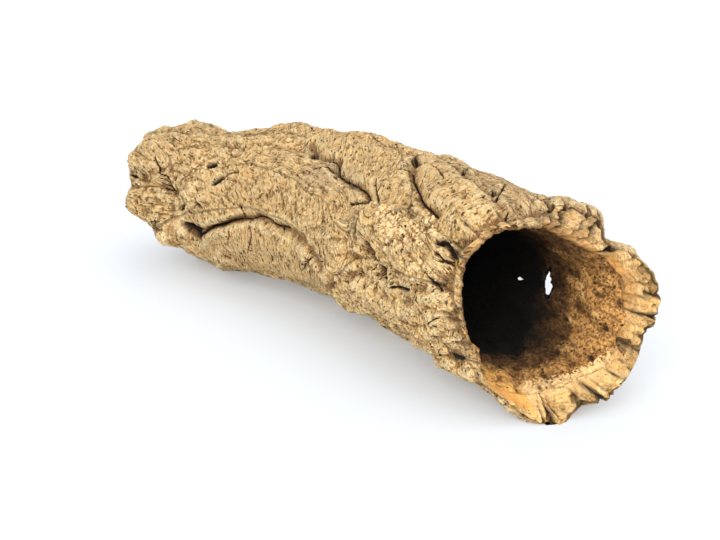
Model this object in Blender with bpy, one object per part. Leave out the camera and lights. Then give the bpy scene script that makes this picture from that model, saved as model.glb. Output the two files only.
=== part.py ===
"""A hollow branch of virgin cork bark, lying on its side.

The bark grew as one piece, so the model is one solid: a bent tube whose skin is
raised in long rolls, parted by creases, pitted, and broken off ragged at both ends.
Every point of the skin has a station, the distance along the middle of the tube
from its far end, and an angle round the tube: 0 on top, 90 in front, 180 below.
Lengths are in millimetres until a point is placed, and angles in the tables in degrees.
"""

import math
import random

import bmesh
import bpy
import numpy as np
from mathutils import Vector, noise

MM = 0.001

# The tube
LENGTH = 413.0
STRAIGHT_END = 69.0
FAR_HEADING = 21.7
MOUTH_HEADING = -18.2
START_X = -211.67
START_Y = -23.50
FAR_RADIUS = 56.5
MOUTH_RADIUS = 66.0
UNROLL_RADIUS = 62.0

# The ends
MOUTH_TURN = 15.0
MOUTH_LEAN = 20.0
LIP = 3.0
LIP_CROWN = 3.0
LIP_REACH = 12.0
LIP_FROM = -12.0
LIP_TO = 128.0
LIP_BLEND = 12.0
REAR_ROUNDING = 8.0
REAR_REACH = 9.0
REAR_INSET = 10.0
MOUTH_BULGE = 0.32
EDGE_FLARE = 7.0
EDGE_FLARE_MORE = 8.0
EDGE_FLARE_ANGLE = 275.0
EDGE_FLARE_SPAN = 48.0
EDGE_FLARE_REACH = 11.0

# Where the mouth's edge strays from a round bore: angle, half width in degrees, distance
EDGE_WAVES = ((334, 22, -7.5), (306, 17, -9.0), (8, 16, -2.0), (46, 18, 5.0), (80, 20, 2.5))
EDGE_WAVE_REACH = 16.0
FAR_STEP = 33.0
FAR_STEP_FROM = 104.0
FAR_STEP_TO = 222.0
FAR_STEP_BLEND = 14.0
FAR_NICK = 6.0
FAR_NICK_ANGLE = 63.0
FAR_NICK_WIDTH = 20.0
FAR_TAPER = 5.0
FAR_TAPER_REACH = 8.0
FAR_BULGE = 0.1

# The bore
FAR_BORE = 30.0
MIDDLE_BORE = 44.0
MOUTH_BORE = 47.0
BORE_WIDENING = 130.0
FLARE_REACH = 45.0
THINNEST_WALL = 9.0
THINNEST_LIP = 2.5

# A slit that rot left through the rear wall: it slants outwards and down, away from the mouth
SLIT_STATION = 364.0
SLIT_ANGLE = 260.0
SLIT_HEADING = 122.4
SLIT_FALL = 20.9
SLIT_WIDTH = 4.6
SLIT_HEIGHT = 18.0
SLIT_INSIDE = 14.0
SLIT_OUTSIDE = 62.0
SLIT_SIDES = 10

# The mesh
SEGMENTS = 64
SKIN_RINGS = 60
BORE_SEGMENTS = 32
BORE_RINGS = 22
BORE_CROWDING = 1.5
EDGE_SHARE = 0.004

# Rolls stand on the tube's lower ground: half width, height, and route as (station, angle) pairs.
# A roll's foot lies ROLL_SPREAD half widths out, so that neighbours meet before they reach the ground.
ROLL_GROUND = -5.0
ROLL_SPREAD = 1.55
ROLLS = {
    "belly": (26, 9, ((76, 114), (105, 105), (140, 99), (185, 97), (225, 101), (252, 110))),
    "shoulder": (21, 9, ((84, 66), (110, 60), (150, 53), (195, 57), (232, 68), (262, 84))),
    "far_crown": (29, 10, ((0, 42), (45, 40), (85, 32), (125, 22), (160, 6))),
    "far_flank": (16, 6, ((0, 80), (30, 80), (62, 80))),
    "flap": (16, 10, ((150, 34), (195, 38), (235, 44), (270, 54))),
    "brow": (22, 13, ((146, -14), (180, 0), (212, 12), (250, 21), (280, 33), (300, 46))),
    "collar": (20, 11, ((285, 4), (318, 15), (350, 24), (400, 34))),
    "crest": (20, 11, ((140, -14), (190, -19), (240, -17), (285, -16))),
    "back_ridge": (22, 6, ((235, -40), (290, -34), (345, -29), (420, -28))),
    "cheek": (17, 10, ((292, 62), (335, 58), (370, 60), (400, 64))),
    "jowl": (22, 9, ((266, 112), (310, 100), (345, 95), (378, 94), (405, 94))),
    "chin": (20, 2, ((320, 136), (365, 136), (420, 138))),
    "sole": (24, 10, ((280, 178), (350, 181), (440, 182))),
    "rear_foot": (19, 10, ((190, 214), (270, 221), (350, 225), (440, 227))),
    "rear_bulge": (21, 13, ((120, 242), (180, 260), (240, 248), (300, 268), (365, 256), (440, 266))),
    "rear_shelf": (18, 12, ((165, 308), (215, 292), (265, 306), (325, 290), (385, 298), (440, 290))),
    "far_foot": (24, 9, ((40, 176), (80, 186), (130, 198), (190, 208))),
    "far_rear": (23, 11, ((0, 226), (50, 233), (100, 242), (135, 248))),
    "far_shelf": (22, 11, ((0, 276), (60, 284), (115, 294), (170, 304))),
    "far_top": (22, 11, ((0, -24), (50, -30), (100, -36), (160, -44), (225, -46))),
    "underside": (22, 1, ((90, 146), (130, 150), (190, 158), (262, 158))),
}

# Where two rolls are nearly as high, the crease between them is filled to this height and less
ROLL_BLEND = 8.0

# How even the bark of each roll is; on the others it bulges and is parted by furrows
EVENNESS = {"belly": 1.0, "shoulder": 0.6, "far_crown": 0.25, "brow": 0.95, "flap": 0.95, "collar": 0.7,
            "crest": 0.6, "back_ridge": 0.95, "far_top": 0.4, "rear_bulge": 0.6, "rear_shelf": 0.7,
            "far_shelf": 0.6, "sole": 0.5, "far_foot": 0.5}

# Creases between the rolls: half width, depth, route
CREASES = {
    "belly_split": (
        6, 5, ((74, 101), (96, 97), (114, 91), (135, 84), (160, 78), (187, 80), (222, 84), (246, 97)),
    ),
    "crown_split": (8, 4, ((4, 8), (30, 14), (60, 16), (92, 12), (122, 6))),
    "far_split": (7, 3, ((20, 64), (48, 68), (72, 76))),
    "flap_split": (6, 4, ((176, 14), (198, 25), (223, 27), (236, 36), (255, 41), (277, 43), (290, 48))),
    "collar_split": (7, 4, ((284, 8), (298, 20), (318, 29), (342, 35), (356, 38))),
    "ridge_split": (8, 3, ((262, -14), (310, -6), (352, 4), (392, 10))),
    "cheek_split": (8, 4, ((342, 80), (360, 88), (378, 78), (402, 73))),
    "rear_notch": (8, 6, ((330, 308), (390, 308), (450, 307))),
    "foot_notch": (8, 6, ((350, 243), (450, 241))),
    "rear_split": (9, 5, ((60, 262), (95, 276), (130, 268), (165, 282), (205, 276))),
    "rear_fold": (8, 4, ((250, 272), (285, 288), (320, 276), (345, 280))),
    "low_split": (9, 4, ((20, 208), (70, 224), (110, 216), (160, 236))),
    "low_fold": (8, 3, ((215, 226), (255, 240), (300, 232))),
}

# Pits: station, angle, radius, depth
PITS = {
    "split_mouth": (78, 101, 9, 10),
    "upper_knot": (302, 73, 9, 9),
    "lower_knot": (324, 85, 10, 9),
    "lip_knot": (394, 122, 8, 8),
    "crown_pit": (112, 13, 7, 6),
    "flank_hollow": (52, 60, 12, 5),
    "far_hollow": (62, 132, 20, 5),
    "rear_knot": (70, 262, 9, 9),
    "shelf_pit": (232, 312, 8, 8),
    "foot_pit": (290, 232, 8, 7),
    "under_pit": (150, 172, 8, 6),
}

# Knobs: station, angle, half length, half width, height
KNOBS = {
    "far_cap": (0, 8, 9, 16, 5),
    "far_lump": (26, 40, 15, 15, 3),
    "far_brow": (4, 50, 12, 18, 5),
    "far_knob": (30, -15, 11, 14, 3),
    "far_valley": (9, -24, 12, 12, -11),
    "far_dip": (62, -27, 20, 16, -8),
    "far_chin": (36, 113, 14, 14, 9),
    "far_sole_dip": (47, 161, 18, 17, -9),
    "far_nose": (8, 84, 9, 9, 4),
    "crest_knob": (120, -20, 19, 14, 8),
    "brow_knob": (210, -6, 22, 14, 5),
    "ridge_dip": (364, -24, 20, 14, -4),
    "ridge_saddle": (302, -25, 12, 12, -3),
    "rim_knob": (393, -35, 15, 16, 5),
    "rim_knob_side": (403, -46, 12, 10, 6),
    "rim_notch": (402, 300, 12, 7, -13),
    "rim_shoulder": (424, 278, 16, 11, 12),
    "rim_dome": (410, 290, 13, 9, 4),
    "rim_shelf": (430, 260, 22, 13, 12),
    "rim_cleft": (440, 241, 12, 8, -11),
    "rim_foot": (440, 209, 14, 10, 5),
    "rim_toe": (441, 220, 10, 7, -5),
    "rim_heel": (439, 194, 8, 6, -4),
    "rim_sole": (434, 178, 18, 14, 7),
    "rim_chin": (426, 157, 14, 12, 4),
    "rim_jaw": (380, 150, 10, 8, -3),
    "rim_cheek": (408, 142, 18, 12, -6),
    "belly_low": (165, 150, 34, 15, -4),
    "middle_low": (232, 130, 26, 15, -4),
    "brow_low": (268, 148, 24, 13, -5),
    "cheek_low": (356, 130, 18, 12, -3),
    "belly_foot": (104, 122, 12, 9, 5),
    "rear_knob": (200, 262, 20, 16, 5),
}

# Bulges with sharp creases between them, small lumps and hollows scattered over the skin, and the
# furrows that part it into plates
BULGE_LENGTH = 30.0
BULGE_WIDTH = 20.0
BULGE_HEIGHT = 7.0
BULGE_START = 3.1
LUMPS = 120
LUMP_RADIUS = (7.0, 15.0)
LUMP_HEIGHT = (-2.4, 2.6)
SCATTER_SEED = 11
PLATE_LENGTH = 34.0
PLATE_WIDTH = 20.0
FURROW_SHARE = 0.3
FURROW_DEPTH = 2.4

# How far the forms stray from their routes, and over what length
WANDER = 3.0
WANDER_LENGTH = 26.0
WANDER_STARTS = (3.7, 53.7)

BARK_COLOUR = (0.50, 0.34, 0.19, 1.0)
BARK_ROUGHNESS = 0.9


def wrapped(angle):
    """An angle in radians brought to the range from -pi to pi."""
    return (angle + math.pi) % (2 * math.pi) - math.pi


def smooth_step(value):
    share = np.clip(value, 0, 1)
    return share * share * (3 - 2 * share)


def heading(station):
    """Direction of the tube's middle, in radians from +X."""
    share = np.minimum(station / (LENGTH - STRAIGHT_END), 1.0)
    return np.radians(FAR_HEADING + (MOUTH_HEADING - FAR_HEADING) * share)


def middle(station):
    """The tube's middle in plan: one arc, then a straight stretch up to the mouth."""
    bend = LENGTH - STRAIGHT_END
    turn = math.radians(FAR_HEADING - MOUTH_HEADING) / bend
    first, now = math.radians(FAR_HEADING), heading(station)
    beyond = np.maximum(station - bend, 0.0)
    x = (math.sin(first) - np.sin(now)) / turn + beyond * np.cos(now)
    y = (np.cos(now) - math.cos(first)) / turn + beyond * np.sin(now)
    return START_X + x, START_Y + y


def plain_radius(station):
    return FAR_RADIUS + (MOUTH_RADIUS - FAR_RADIUS) * station / LENGTH


def placed(station, angle, radius):
    """A point in metres at this station and angle, and this far from the tube's middle."""
    x, y = middle(station)
    way = heading(station)
    side = radius * np.sin(angle)
    height = plain_radius(station) + radius * np.cos(angle)
    point = np.stack([x + side * np.sin(way), y - side * np.cos(way), np.maximum(height, 0.0)], -1)
    return point * MM


def route_distance(station, angle, route):
    """How far each point of the unrolled skin lies from a route."""
    nearest = np.full(np.shape(station), np.inf)
    for (s0, a0), (s1, a1) in zip(route, route[1:]):
        a0, a1 = math.radians(a0), math.radians(a1)
        along = np.array([s1 - s0, wrapped(a1 - a0) * UNROLL_RADIUS])
        from_start = np.stack([station - s0, wrapped(angle - a0) * UNROLL_RADIUS], -1)
        share = np.clip(from_start @ along / (along @ along), 0, 1)
        gap = np.linalg.norm(from_start - share[..., None] * along, axis=-1)
        nearest = np.minimum(nearest, gap)
    return nearest


def roll_forms(station, angle):
    """Height of the rolls, which meet in creases because only the highest counts, and its evenness."""
    highest, second, even = (np.zeros(np.shape(station)) for _ in range(3))
    for name, (half_width, height, route) in ROLLS.items():
        across = route_distance(station, angle, route) / half_width / ROLL_SPREAD
        here = height * np.clip(1 - across**2, 0, 1)
        wins = here > highest
        second = np.where(wins, highest, np.maximum(second, here))
        highest = np.where(wins, here, highest)
        even = np.where(wins, EVENNESS.get(name, 0.0), even)
    closeness = np.clip(1 - (highest - second) / ROLL_BLEND, 0, 1)
    return ROLL_GROUND + highest + closeness**2 * ROLL_BLEND / 4, even


def crease_depth(station, angle):
    deepest = np.zeros(np.shape(station))
    for half_width, depth, route in CREASES.values():
        across = route_distance(station, angle, route) / half_width
        deepest = np.maximum(deepest, depth * smooth_step(1 - across))
    return deepest


def bump(station, angle, at_station, at_angle, half_length, half_width):
    along = (station - at_station) / half_length
    across = wrapped(angle - math.radians(at_angle)) * UNROLL_RADIUS / half_width
    return np.exp(-(along**2) - across**2)


def scattered_lumps(station, angle):
    chance = random.Random(SCATTER_SEED)
    height = np.zeros(np.shape(station))
    for _ in range(LUMPS):
        at_station, at_angle = chance.uniform(0, LENGTH), chance.uniform(0, 360)
        radius, tall = chance.uniform(*LUMP_RADIUS), chance.uniform(*LUMP_HEIGHT)
        height += tall * bump(station, angle, at_station, at_angle, 1.4 * radius, radius)
    return height


def tube_spot(station, angle, along, around, shift=0.0):
    """A point of a straight tube, for reading noise whose lumps are this long and this wide."""
    ring = UNROLL_RADIUS / around
    return Vector((station / along + shift, ring * math.sin(angle), ring * math.cos(angle)))


def wandering(station, angle):
    """Shifts each point a little, so that routes drawn with few points wander."""
    shift = np.zeros((2, *np.shape(station)))
    for number, start in enumerate(WANDER_STARTS):
        for index in np.ndindex(np.shape(station)):
            spot = tube_spot(station[index], angle[index], WANDER_LENGTH, WANDER_LENGTH, start)
            shift[number][index] = WANDER * noise.noise(spot)
    return station + shift[0], angle + shift[1] / UNROLL_RADIUS


def folded(spot):
    """Round lumps with sharp creases between them: the size of a noise that changes sign."""
    return abs(noise.noise(spot)) + 0.4 * abs(noise.noise(2.3 * spot))


def bulge_height(station, angle):
    height = np.zeros(np.shape(station))
    for index in np.ndindex(height.shape):
        spot = tube_spot(station[index], angle[index], BULGE_LENGTH, BULGE_WIDTH, BULGE_START)
        height[index] = folded(spot) - 0.25
    return BULGE_HEIGHT * height


def furrow_depth(station, angle):
    """Furrows run where two neighbouring plates of bark are equally near."""
    depth = np.zeros(np.shape(station))
    for index in np.ndindex(depth.shape):
        spot = tube_spot(station[index], angle[index], PLATE_LENGTH, PLATE_WIDTH)
        nearest, second = noise.voronoi(spot)[0][:2]
        depth[index] = max(0.0, 1 - (second - nearest) / FURROW_SHARE)
    return FURROW_DEPTH * depth


def outer_radius(station, angle):
    """Distance from the tube's middle to the bark's skin."""
    size = plain_radius(station)
    station, angle = wandering(station, angle)
    rolls, even = roll_forms(station, angle)
    radius = size + rolls + scattered_lumps(station, angle)
    radius += (1 - 0.75 * even) * bulge_height(station, angle)
    radius -= (1 - 0.85 * even) * furrow_depth(station, angle)
    for at_station, at_angle, half_length, half_width, height in KNOBS.values():
        radius += height * bump(station, angle, at_station, at_angle, half_length, half_width)
    for at_station, at_angle, pit_radius, depth in PITS.values():
        radius -= depth * bump(station, angle, at_station, at_angle, pit_radius, pit_radius)
    return radius - crease_depth(station, angle)


def bore_radius(station, angle):
    """The hollow widens towards the mouth, and is wavy like the wood that rotted out of it."""
    radius = FAR_BORE + (MIDDLE_BORE - FAR_BORE) * smooth_step(station / BORE_WIDENING)
    radius += (MOUTH_BORE - MIDDLE_BORE) * np.exp((station - LENGTH) / FLARE_REACH)
    return radius + 1.6 * np.sin(3 * angle + station / 55) + 1.2 * np.sin(5 * angle - station / 34)


def raggedness(angle, size):
    """The uneven line of a broken edge, the same all the way through the wall."""
    return size * (np.sin(5 * angle + 0.6) + 0.8 * np.sin(8 * angle + 2.1) + 0.5 * np.sin(13 * angle)) / 2


def mouth_station(angle, radius):
    """Where the mouth's slanting break crosses the wall: it faces forward and a little up."""
    turn, lean = math.radians(MOUTH_TURN), math.radians(MOUTH_LEAN)
    slope = np.sin(angle) * math.tan(turn) + np.cos(angle) * math.tan(lean) / math.cos(turn)
    return LENGTH - radius * slope + raggedness(angle, 2.0)


def far_station(angle):
    """The far end is broken off in two steps, the lower front part sooner, with a nick above it."""
    turned = np.degrees(angle) % 360
    rise = smooth_step((turned - FAR_STEP_FROM) / (2 * FAR_STEP_BLEND) + 0.5)
    fall = smooth_step((FAR_STEP_TO - turned) / (4 * FAR_STEP_BLEND) + 0.5)
    nick = FAR_NICK * np.exp(-(((turned - FAR_NICK_ANGLE) / FAR_NICK_WIDTH) ** 2))
    return FAR_STEP * rise * fall + nick + raggedness(angle + 1.0, 2.4)


def thin_lip(angle):
    """1 where the mouth's edge is a thin lip, in front and on top, and 0 where its wall is thick."""
    centre, half = math.radians(LIP_FROM + LIP_TO) / 2, math.radians(LIP_TO - LIP_FROM) / 2
    inside = half - np.abs(wrapped(angle - centre))
    return smooth_step(inside / math.radians(2 * LIP_BLEND) + 0.5)


def edge_flare(angle, inward):
    """How much the bore widens where it meets a thick wall, this far in from its edge."""
    turned = np.degrees(wrapped(angle - math.radians(EDGE_FLARE_ANGLE))) / EDGE_FLARE_SPAN
    flare = EDGE_FLARE + EDGE_FLARE_MORE * np.exp(-(turned**2))
    flare = flare * (1 - thin_lip(angle)) * np.exp(-inward / EDGE_FLARE_REACH)
    for at_angle, half_width, height in EDGE_WAVES:
        turned = np.degrees(wrapped(angle - math.radians(at_angle))) / half_width
        flare = flare + height * np.exp(-(turned**2) - inward / EDGE_WAVE_REACH)
    return flare


def circle_angles(count):
    return np.arange(count) * 2 * math.pi / count


def end_rounding(station, angle, first, last):
    """How far the skin is drawn in where it rounds over at the two ends."""
    thickness = plain_radius(station) + LIP_CROWN - bore_radius(station, angle)
    front = (thickness - LIP) * np.exp((station - last) / LIP_REACH)
    rear = REAR_ROUNDING * np.exp((station - last) / REAR_REACH)
    share = thin_lip(angle)
    return share * front + (1 - share) * rear + FAR_TAPER * np.exp((first - station) / FAR_TAPER_REACH)


def skin_radius(station, angle, first, last):
    """The skin's radius with its rounded ends, and never too near the bore."""
    radius = outer_radius(station, angle) - end_rounding(station, angle, first, last)
    near_mouth = thin_lip(angle) * np.exp((station - last) / LIP_REACH)
    thinnest = THINNEST_WALL + (THINNEST_LIP - THINNEST_WALL) * near_mouth
    inward = np.maximum(mouth_station(angle, MOUTH_BORE) - station, 0.0)
    inner = bore_radius(station, angle) + edge_flare(angle, inward)
    return np.maximum(radius, np.maximum(bore_radius(station, angle) + thinnest, inner + THINNEST_LIP))


def skin_ring(share):
    """One ring of the skin: share runs from 0 at the far end to 1 at the mouth."""
    angle = circle_angles(SEGMENTS)
    first, last = far_station(angle), mouth_station(angle, plain_radius(LENGTH))
    station = first + share * (last - first)
    return placed(station, angle, skin_radius(station, angle, first, last))


def bore_edge(angle, at_mouth):
    """The bore's own end: behind, the thick wall slopes back to it."""
    if not at_mouth:
        return far_station(angle)
    return mouth_station(angle, MOUTH_BORE) - REAR_INSET * (1 - thin_lip(angle))


def rim_ring(inward, at_mouth):
    """One ring of an end's broken wall: inward is 0 at the skin and 1 at the bore."""
    angle = circle_angles(SEGMENTS)
    first, last = far_station(angle), mouth_station(angle, plain_radius(LENGTH))
    edge, inner_edge = last if at_mouth else first, bore_edge(angle, at_mouth)
    bore, skin = bore_radius(inner_edge, angle), skin_radius(edge, angle, first, last)
    bore = bore + at_mouth * edge_flare(angle, 0.0)
    bulge = (skin - bore) * math.sin(math.pi * inward)
    station = edge + inward * (inner_edge - edge) + bulge * (MOUTH_BULGE if at_mouth else -FAR_BULGE)
    return placed(station, angle, skin + inward * (bore - skin))


def bore_ring(share):
    """One ring of the bore: share runs from 0 at the far end to 1 at the mouth."""
    angle = circle_angles(BORE_SEGMENTS)
    first, last = bore_edge(angle, False), bore_edge(angle, True)
    station = first + share * (last - first)
    return placed(station, angle, bore_radius(station, angle) + edge_flare(angle, last - station))


def add_ring(bm, edges, points, place):
    """Extrudes the last ring of edges and puts each new vertex on its own point."""
    made = bmesh.ops.extrude_edge_only(bm, edges=edges)["geom"]
    for vert in made:
        if isinstance(vert, bmesh.types.BMVert):
            vert.co = points[vert[place]]
    return [item for item in made if isinstance(item, bmesh.types.BMEdge)]


def tube(bm, rings):
    """A tube through rings of points, made by extruding a circle. Returns its two open ends."""
    place = bm.verts.layers.int.get("place") or bm.verts.layers.int.new("place")
    circle = bmesh.ops.create_circle(bm, segments=len(rings[0]), radius=1.0)["verts"]
    for index, vert in enumerate(circle):
        vert[place] = index
        vert.co = rings[0][index]
    first = list({edge for vert in circle for edge in vert.link_edges})
    last = first
    for points in rings[1:]:
        last = add_ring(bm, last, points, place)
    return first, last


def bark_mesh():
    bm = bmesh.new()
    far_rim = [rim_ring(inward, False) for inward in (0.7, 0.28)]
    skin = [skin_ring(share) for share in np.linspace(EDGE_SHARE, 1 - EDGE_SHARE, SKIN_RINGS)]
    mouth_rim = [rim_ring(inward, True) for inward in (0.28, 0.7)]
    skin_far, skin_mouth = tube(bm, far_rim + skin + mouth_rim)
    bore_shares = 1 - np.linspace(1, 0, BORE_RINGS) ** BORE_CROWDING
    bore_far, bore_mouth = tube(bm, [bore_ring(share) for share in bore_shares])
    bmesh.ops.bridge_loops(bm, edges=skin_far + bore_far)
    bmesh.ops.bridge_loops(bm, edges=skin_mouth + bore_mouth)
    bmesh.ops.recalc_face_normals(bm, faces=bm.faces)
    bmesh.ops.triangulate(bm, faces=bm.faces, quad_method="SHORT_EDGE")
    mesh = bpy.data.meshes.new("cork_branch")
    bm.to_mesh(mesh)
    bm.free()
    return mesh


def slit_cutter(material):
    """A flat tube along the slit, twice as wide where it opens into the bore as at its far end."""
    length = SLIT_INSIDE + SLIT_OUTSIDE
    bm = bmesh.new()
    bmesh.ops.create_cone(
        bm, cap_ends=True, segments=SLIT_SIDES, radius1=2 / 3, radius2=1 / 3, depth=length
    )
    bmesh.ops.translate(bm, verts=bm.verts, vec=(0, 0, length / 2 - SLIT_INSIDE))
    bmesh.ops.scale(bm, verts=bm.verts, vec=(SLIT_WIDTH * MM, SLIT_HEIGHT * MM, MM))
    mesh = bpy.data.meshes.new("slit_cutter")
    bm.to_mesh(mesh)
    bm.free()
    mesh.materials.append(material)
    cutter = bpy.data.objects.new("slit_cutter", mesh)
    station, angle = np.array(SLIT_STATION), np.array(math.radians(SLIT_ANGLE))
    cutter.location = placed(station, angle, bore_radius(station, angle))
    cutter.rotation_euler = (math.radians(90 + SLIT_FALL), 0, math.radians(SLIT_HEADING + 90))
    cutter.hide_render = True
    cutter.display_type = "WIRE"
    bpy.context.scene.collection.objects.link(cutter)
    return cutter


def bark_material():
    material = bpy.data.materials.new("cork_bark")
    material.use_nodes = True
    shader = material.node_tree.nodes["Principled BSDF"]
    shader.inputs["Base Color"].default_value = BARK_COLOUR
    shader.inputs["Roughness"].default_value = BARK_ROUGHNESS
    shader.inputs["Metallic"].default_value = 0.0
    return material


def main():
    for old in list(bpy.data.objects):
        bpy.data.objects.remove(old)
    bark = bark_material()
    mesh = bark_mesh()
    mesh.materials.append(bark)
    branch = bpy.data.objects.new("cork_branch", mesh)
    bpy.context.scene.collection.objects.link(branch)
    slit = branch.modifiers.new("slit", "BOOLEAN")
    slit.operation = "DIFFERENCE"
    slit.solver = "EXACT"
    slit.object = slit_cutter(bark)


main()
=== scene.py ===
# %% [markdown]
# # A hollow branch of cork bark
#
# The object is a hollow branch of virgin cork bark: a gently bent tube, about 470 mm long in all,
# narrow at its far end and flared at its mouth. Its skin is raised in long rolls, split by dark
# fissures, broken into plates and ledges, and peppered with pores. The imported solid
# already has the tube, the rolls and the creases. This lesson makes the same bark again, much
# finer, and gives it its colours. It starts by loading the solid and keeping its box, because the
# fine bark may not grow out of it.

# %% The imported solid
import math
import random

import bmesh
import bpy
import numpy as np
from mathutils import Euler, Matrix, Vector, kdtree, noise


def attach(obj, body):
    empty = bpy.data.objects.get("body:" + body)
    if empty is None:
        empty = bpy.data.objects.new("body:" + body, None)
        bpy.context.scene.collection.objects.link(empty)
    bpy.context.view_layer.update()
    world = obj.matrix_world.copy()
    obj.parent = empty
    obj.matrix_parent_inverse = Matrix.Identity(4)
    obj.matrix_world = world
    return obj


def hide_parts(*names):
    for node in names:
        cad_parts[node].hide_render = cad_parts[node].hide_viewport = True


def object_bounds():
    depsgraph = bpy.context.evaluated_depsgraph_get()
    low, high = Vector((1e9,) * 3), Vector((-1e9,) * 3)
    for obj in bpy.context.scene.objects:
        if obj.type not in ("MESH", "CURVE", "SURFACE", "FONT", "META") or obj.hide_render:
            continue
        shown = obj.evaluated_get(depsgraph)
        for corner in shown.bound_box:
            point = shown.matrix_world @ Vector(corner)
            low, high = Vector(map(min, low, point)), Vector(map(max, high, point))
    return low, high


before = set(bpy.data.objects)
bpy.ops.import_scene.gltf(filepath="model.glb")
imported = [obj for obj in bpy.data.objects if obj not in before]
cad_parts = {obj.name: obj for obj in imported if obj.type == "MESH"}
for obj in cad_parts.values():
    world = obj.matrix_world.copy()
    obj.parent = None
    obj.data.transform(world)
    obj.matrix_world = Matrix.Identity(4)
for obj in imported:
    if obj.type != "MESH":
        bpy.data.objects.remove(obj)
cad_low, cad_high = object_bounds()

MM = 0.001
NODE = "cork_branch"
print("solid's box in mm:", [round((h - l) / MM, 1) for l, h in zip(cad_low, cad_high)])

# %% [markdown]
# ## Camera
#
# The photograph looks down at the branch by about 21 degrees, from the side of the mouth, with a
# lens of normal length. The camera comes first, so that every later step can be looked at.

# %% Camera
CAMERA_PLACE = (495.3, -508.9, 298.0)
CAMERA_TURN = 43.8
CAMERA_PITCH = 20.6
CAMERA_LENS = 50.0
FILM_WIDTH = 36.0


def make_camera():
    data = bpy.data.cameras.new("camera")
    data.lens, data.sensor_width = CAMERA_LENS, FILM_WIDTH
    camera = bpy.data.objects.new("camera", data)
    camera.location = [value * MM for value in CAMERA_PLACE]
    camera.rotation_euler = (math.radians(90 - CAMERA_PITCH), 0, math.radians(CAMERA_TURN))
    bpy.context.scene.collection.objects.link(camera)
    bpy.context.scene.camera = camera
    return camera


camera = make_camera()
print("camera stands at", [round(value, 3) for value in camera.location], "m")

# %% [markdown]
# ## Studio
#
# The branch was photographed on a seamless white sweep under one very large soft light, so its
# shadows are pale and have no edge. A wide plane gives the floor. It glows a little, as a lit
# acrylic table does, which is why even the shadow under the branch is pale. A white world fills the
# shadows, and one sun with a very wide disc does the work of the soft box: it lights near and far
# floor alike, so the background stays even. Another one fills the side that the camera sees.

# %% Floor, world and light
FLOOR_SIZE = 30.0
FLOOR_COLOUR = (0.515, 0.545, 0.58, 1.0)
FLOOR_GLOW = 0.23
SKY_STRENGTH = 0.92
# Each lamp: strength, width of its disc in degrees, tilt and turn
LAMPS = {
    "soft_box": (0.75, 80.0, 30.0, 176.0),
    "fill": (1.95, 50.0, 58.0, 20.0),
    "side": (1.15, 60.0, 64.0, 74.0),
}


def make_floor():
    bm = bmesh.new()
    bmesh.ops.create_grid(bm, x_segments=1, y_segments=1, size=FLOOR_SIZE / 2)
    mesh = bpy.data.meshes.new("floor")
    bm.to_mesh(mesh)
    bm.free()
    material = bpy.data.materials.new("floor_white")
    material.use_nodes = True
    shader = material.node_tree.nodes["Principled BSDF"]
    shader.inputs["Base Color"].default_value = FLOOR_COLOUR
    shader.inputs["Roughness"].default_value = 0.9
    shader.inputs["Emission Color"].default_value = (1.0, 1.0, 1.0, 1.0)
    shader.inputs["Emission Strength"].default_value = FLOOR_GLOW
    mesh.materials.append(material)
    floor = bpy.data.objects.new("floor", mesh)
    bpy.context.scene.collection.objects.link(floor)


def make_lights():
    world = bpy.data.worlds.new("studio")
    world.use_nodes = True
    world.node_tree.nodes["Background"].inputs["Strength"].default_value = SKY_STRENGTH
    world.node_tree.nodes["Background"].inputs["Color"].default_value = (1.0, 1.0, 1.0, 1.0)
    bpy.context.scene.world = world
    for name, (strength, disc, tilt, turn) in LAMPS.items():
        data = bpy.data.lights.new(name, "SUN")
        data.energy, data.angle = strength, math.radians(disc)
        light = bpy.data.objects.new(name, data)
        light.rotation_euler = (math.radians(tilt), 0, math.radians(turn))
        bpy.context.scene.collection.objects.link(light)


make_floor()
make_lights()
bpy.context.scene.view_settings.view_transform = "Standard"
print("floor is", FLOOR_SIZE, "m wide; lamps:", list(LAMPS))

# %% [markdown]
# ## The tube and its two numbers
#
# Every point of bark gets two numbers: its station, the distance along the middle of the tube
# from the far end, and its angle round the tube, with 0 on top, 90 in front and 180 below. On
# those two numbers the bark is a flat sheet, and rolls, cracks and pores are easy to draw.
# The tube's measures are the solid's own, in millimetres and degrees.

# %% The tube
LENGTH = 413.0
STRAIGHT_END = 69.0
FAR_HEADING = 21.7
MOUTH_HEADING = -18.2
START_X = -211.67
START_Y = -23.50
FAR_RADIUS = 56.5
MOUTH_RADIUS = 66.0
UNROLL_RADIUS = 62.0


def wrapped(angle):
    """An angle in radians brought to the range from -pi to pi."""
    return (angle + math.pi) % (2 * math.pi) - math.pi


def smooth_step(value):
    share = np.clip(value, 0, 1)
    return share * share * (3 - 2 * share)


def heading(station):
    share = np.minimum(station / (LENGTH - STRAIGHT_END), 1.0)
    return np.radians(FAR_HEADING + (MOUTH_HEADING - FAR_HEADING) * share)


def middle(station):
    """The tube's middle in plan: one arc, then a straight stretch up to the mouth."""
    bend = LENGTH - STRAIGHT_END
    turn = math.radians(FAR_HEADING - MOUTH_HEADING) / bend
    first, now = math.radians(FAR_HEADING), heading(station)
    beyond = np.maximum(station - bend, 0.0)
    x = (math.sin(first) - np.sin(now)) / turn + beyond * np.cos(now)
    y = (np.cos(now) - math.cos(first)) / turn + beyond * np.sin(now)
    return START_X + x, START_Y + y


def plain_radius(station):
    return FAR_RADIUS + (MOUTH_RADIUS - FAR_RADIUS) * station / LENGTH


def placed(station, angle, radius):
    """A point in metres at this station and angle, and this far from the tube's middle."""
    x, y = middle(station)
    way = heading(station)
    side = radius * np.sin(angle)
    height = plain_radius(station) + radius * np.cos(angle)
    return np.stack([x + side * np.sin(way), y - side * np.cos(way), height], -1) * MM


print("tube's middle at the mouth:", [round(float(v), 1) for v in middle(np.array(LENGTH))])

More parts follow.
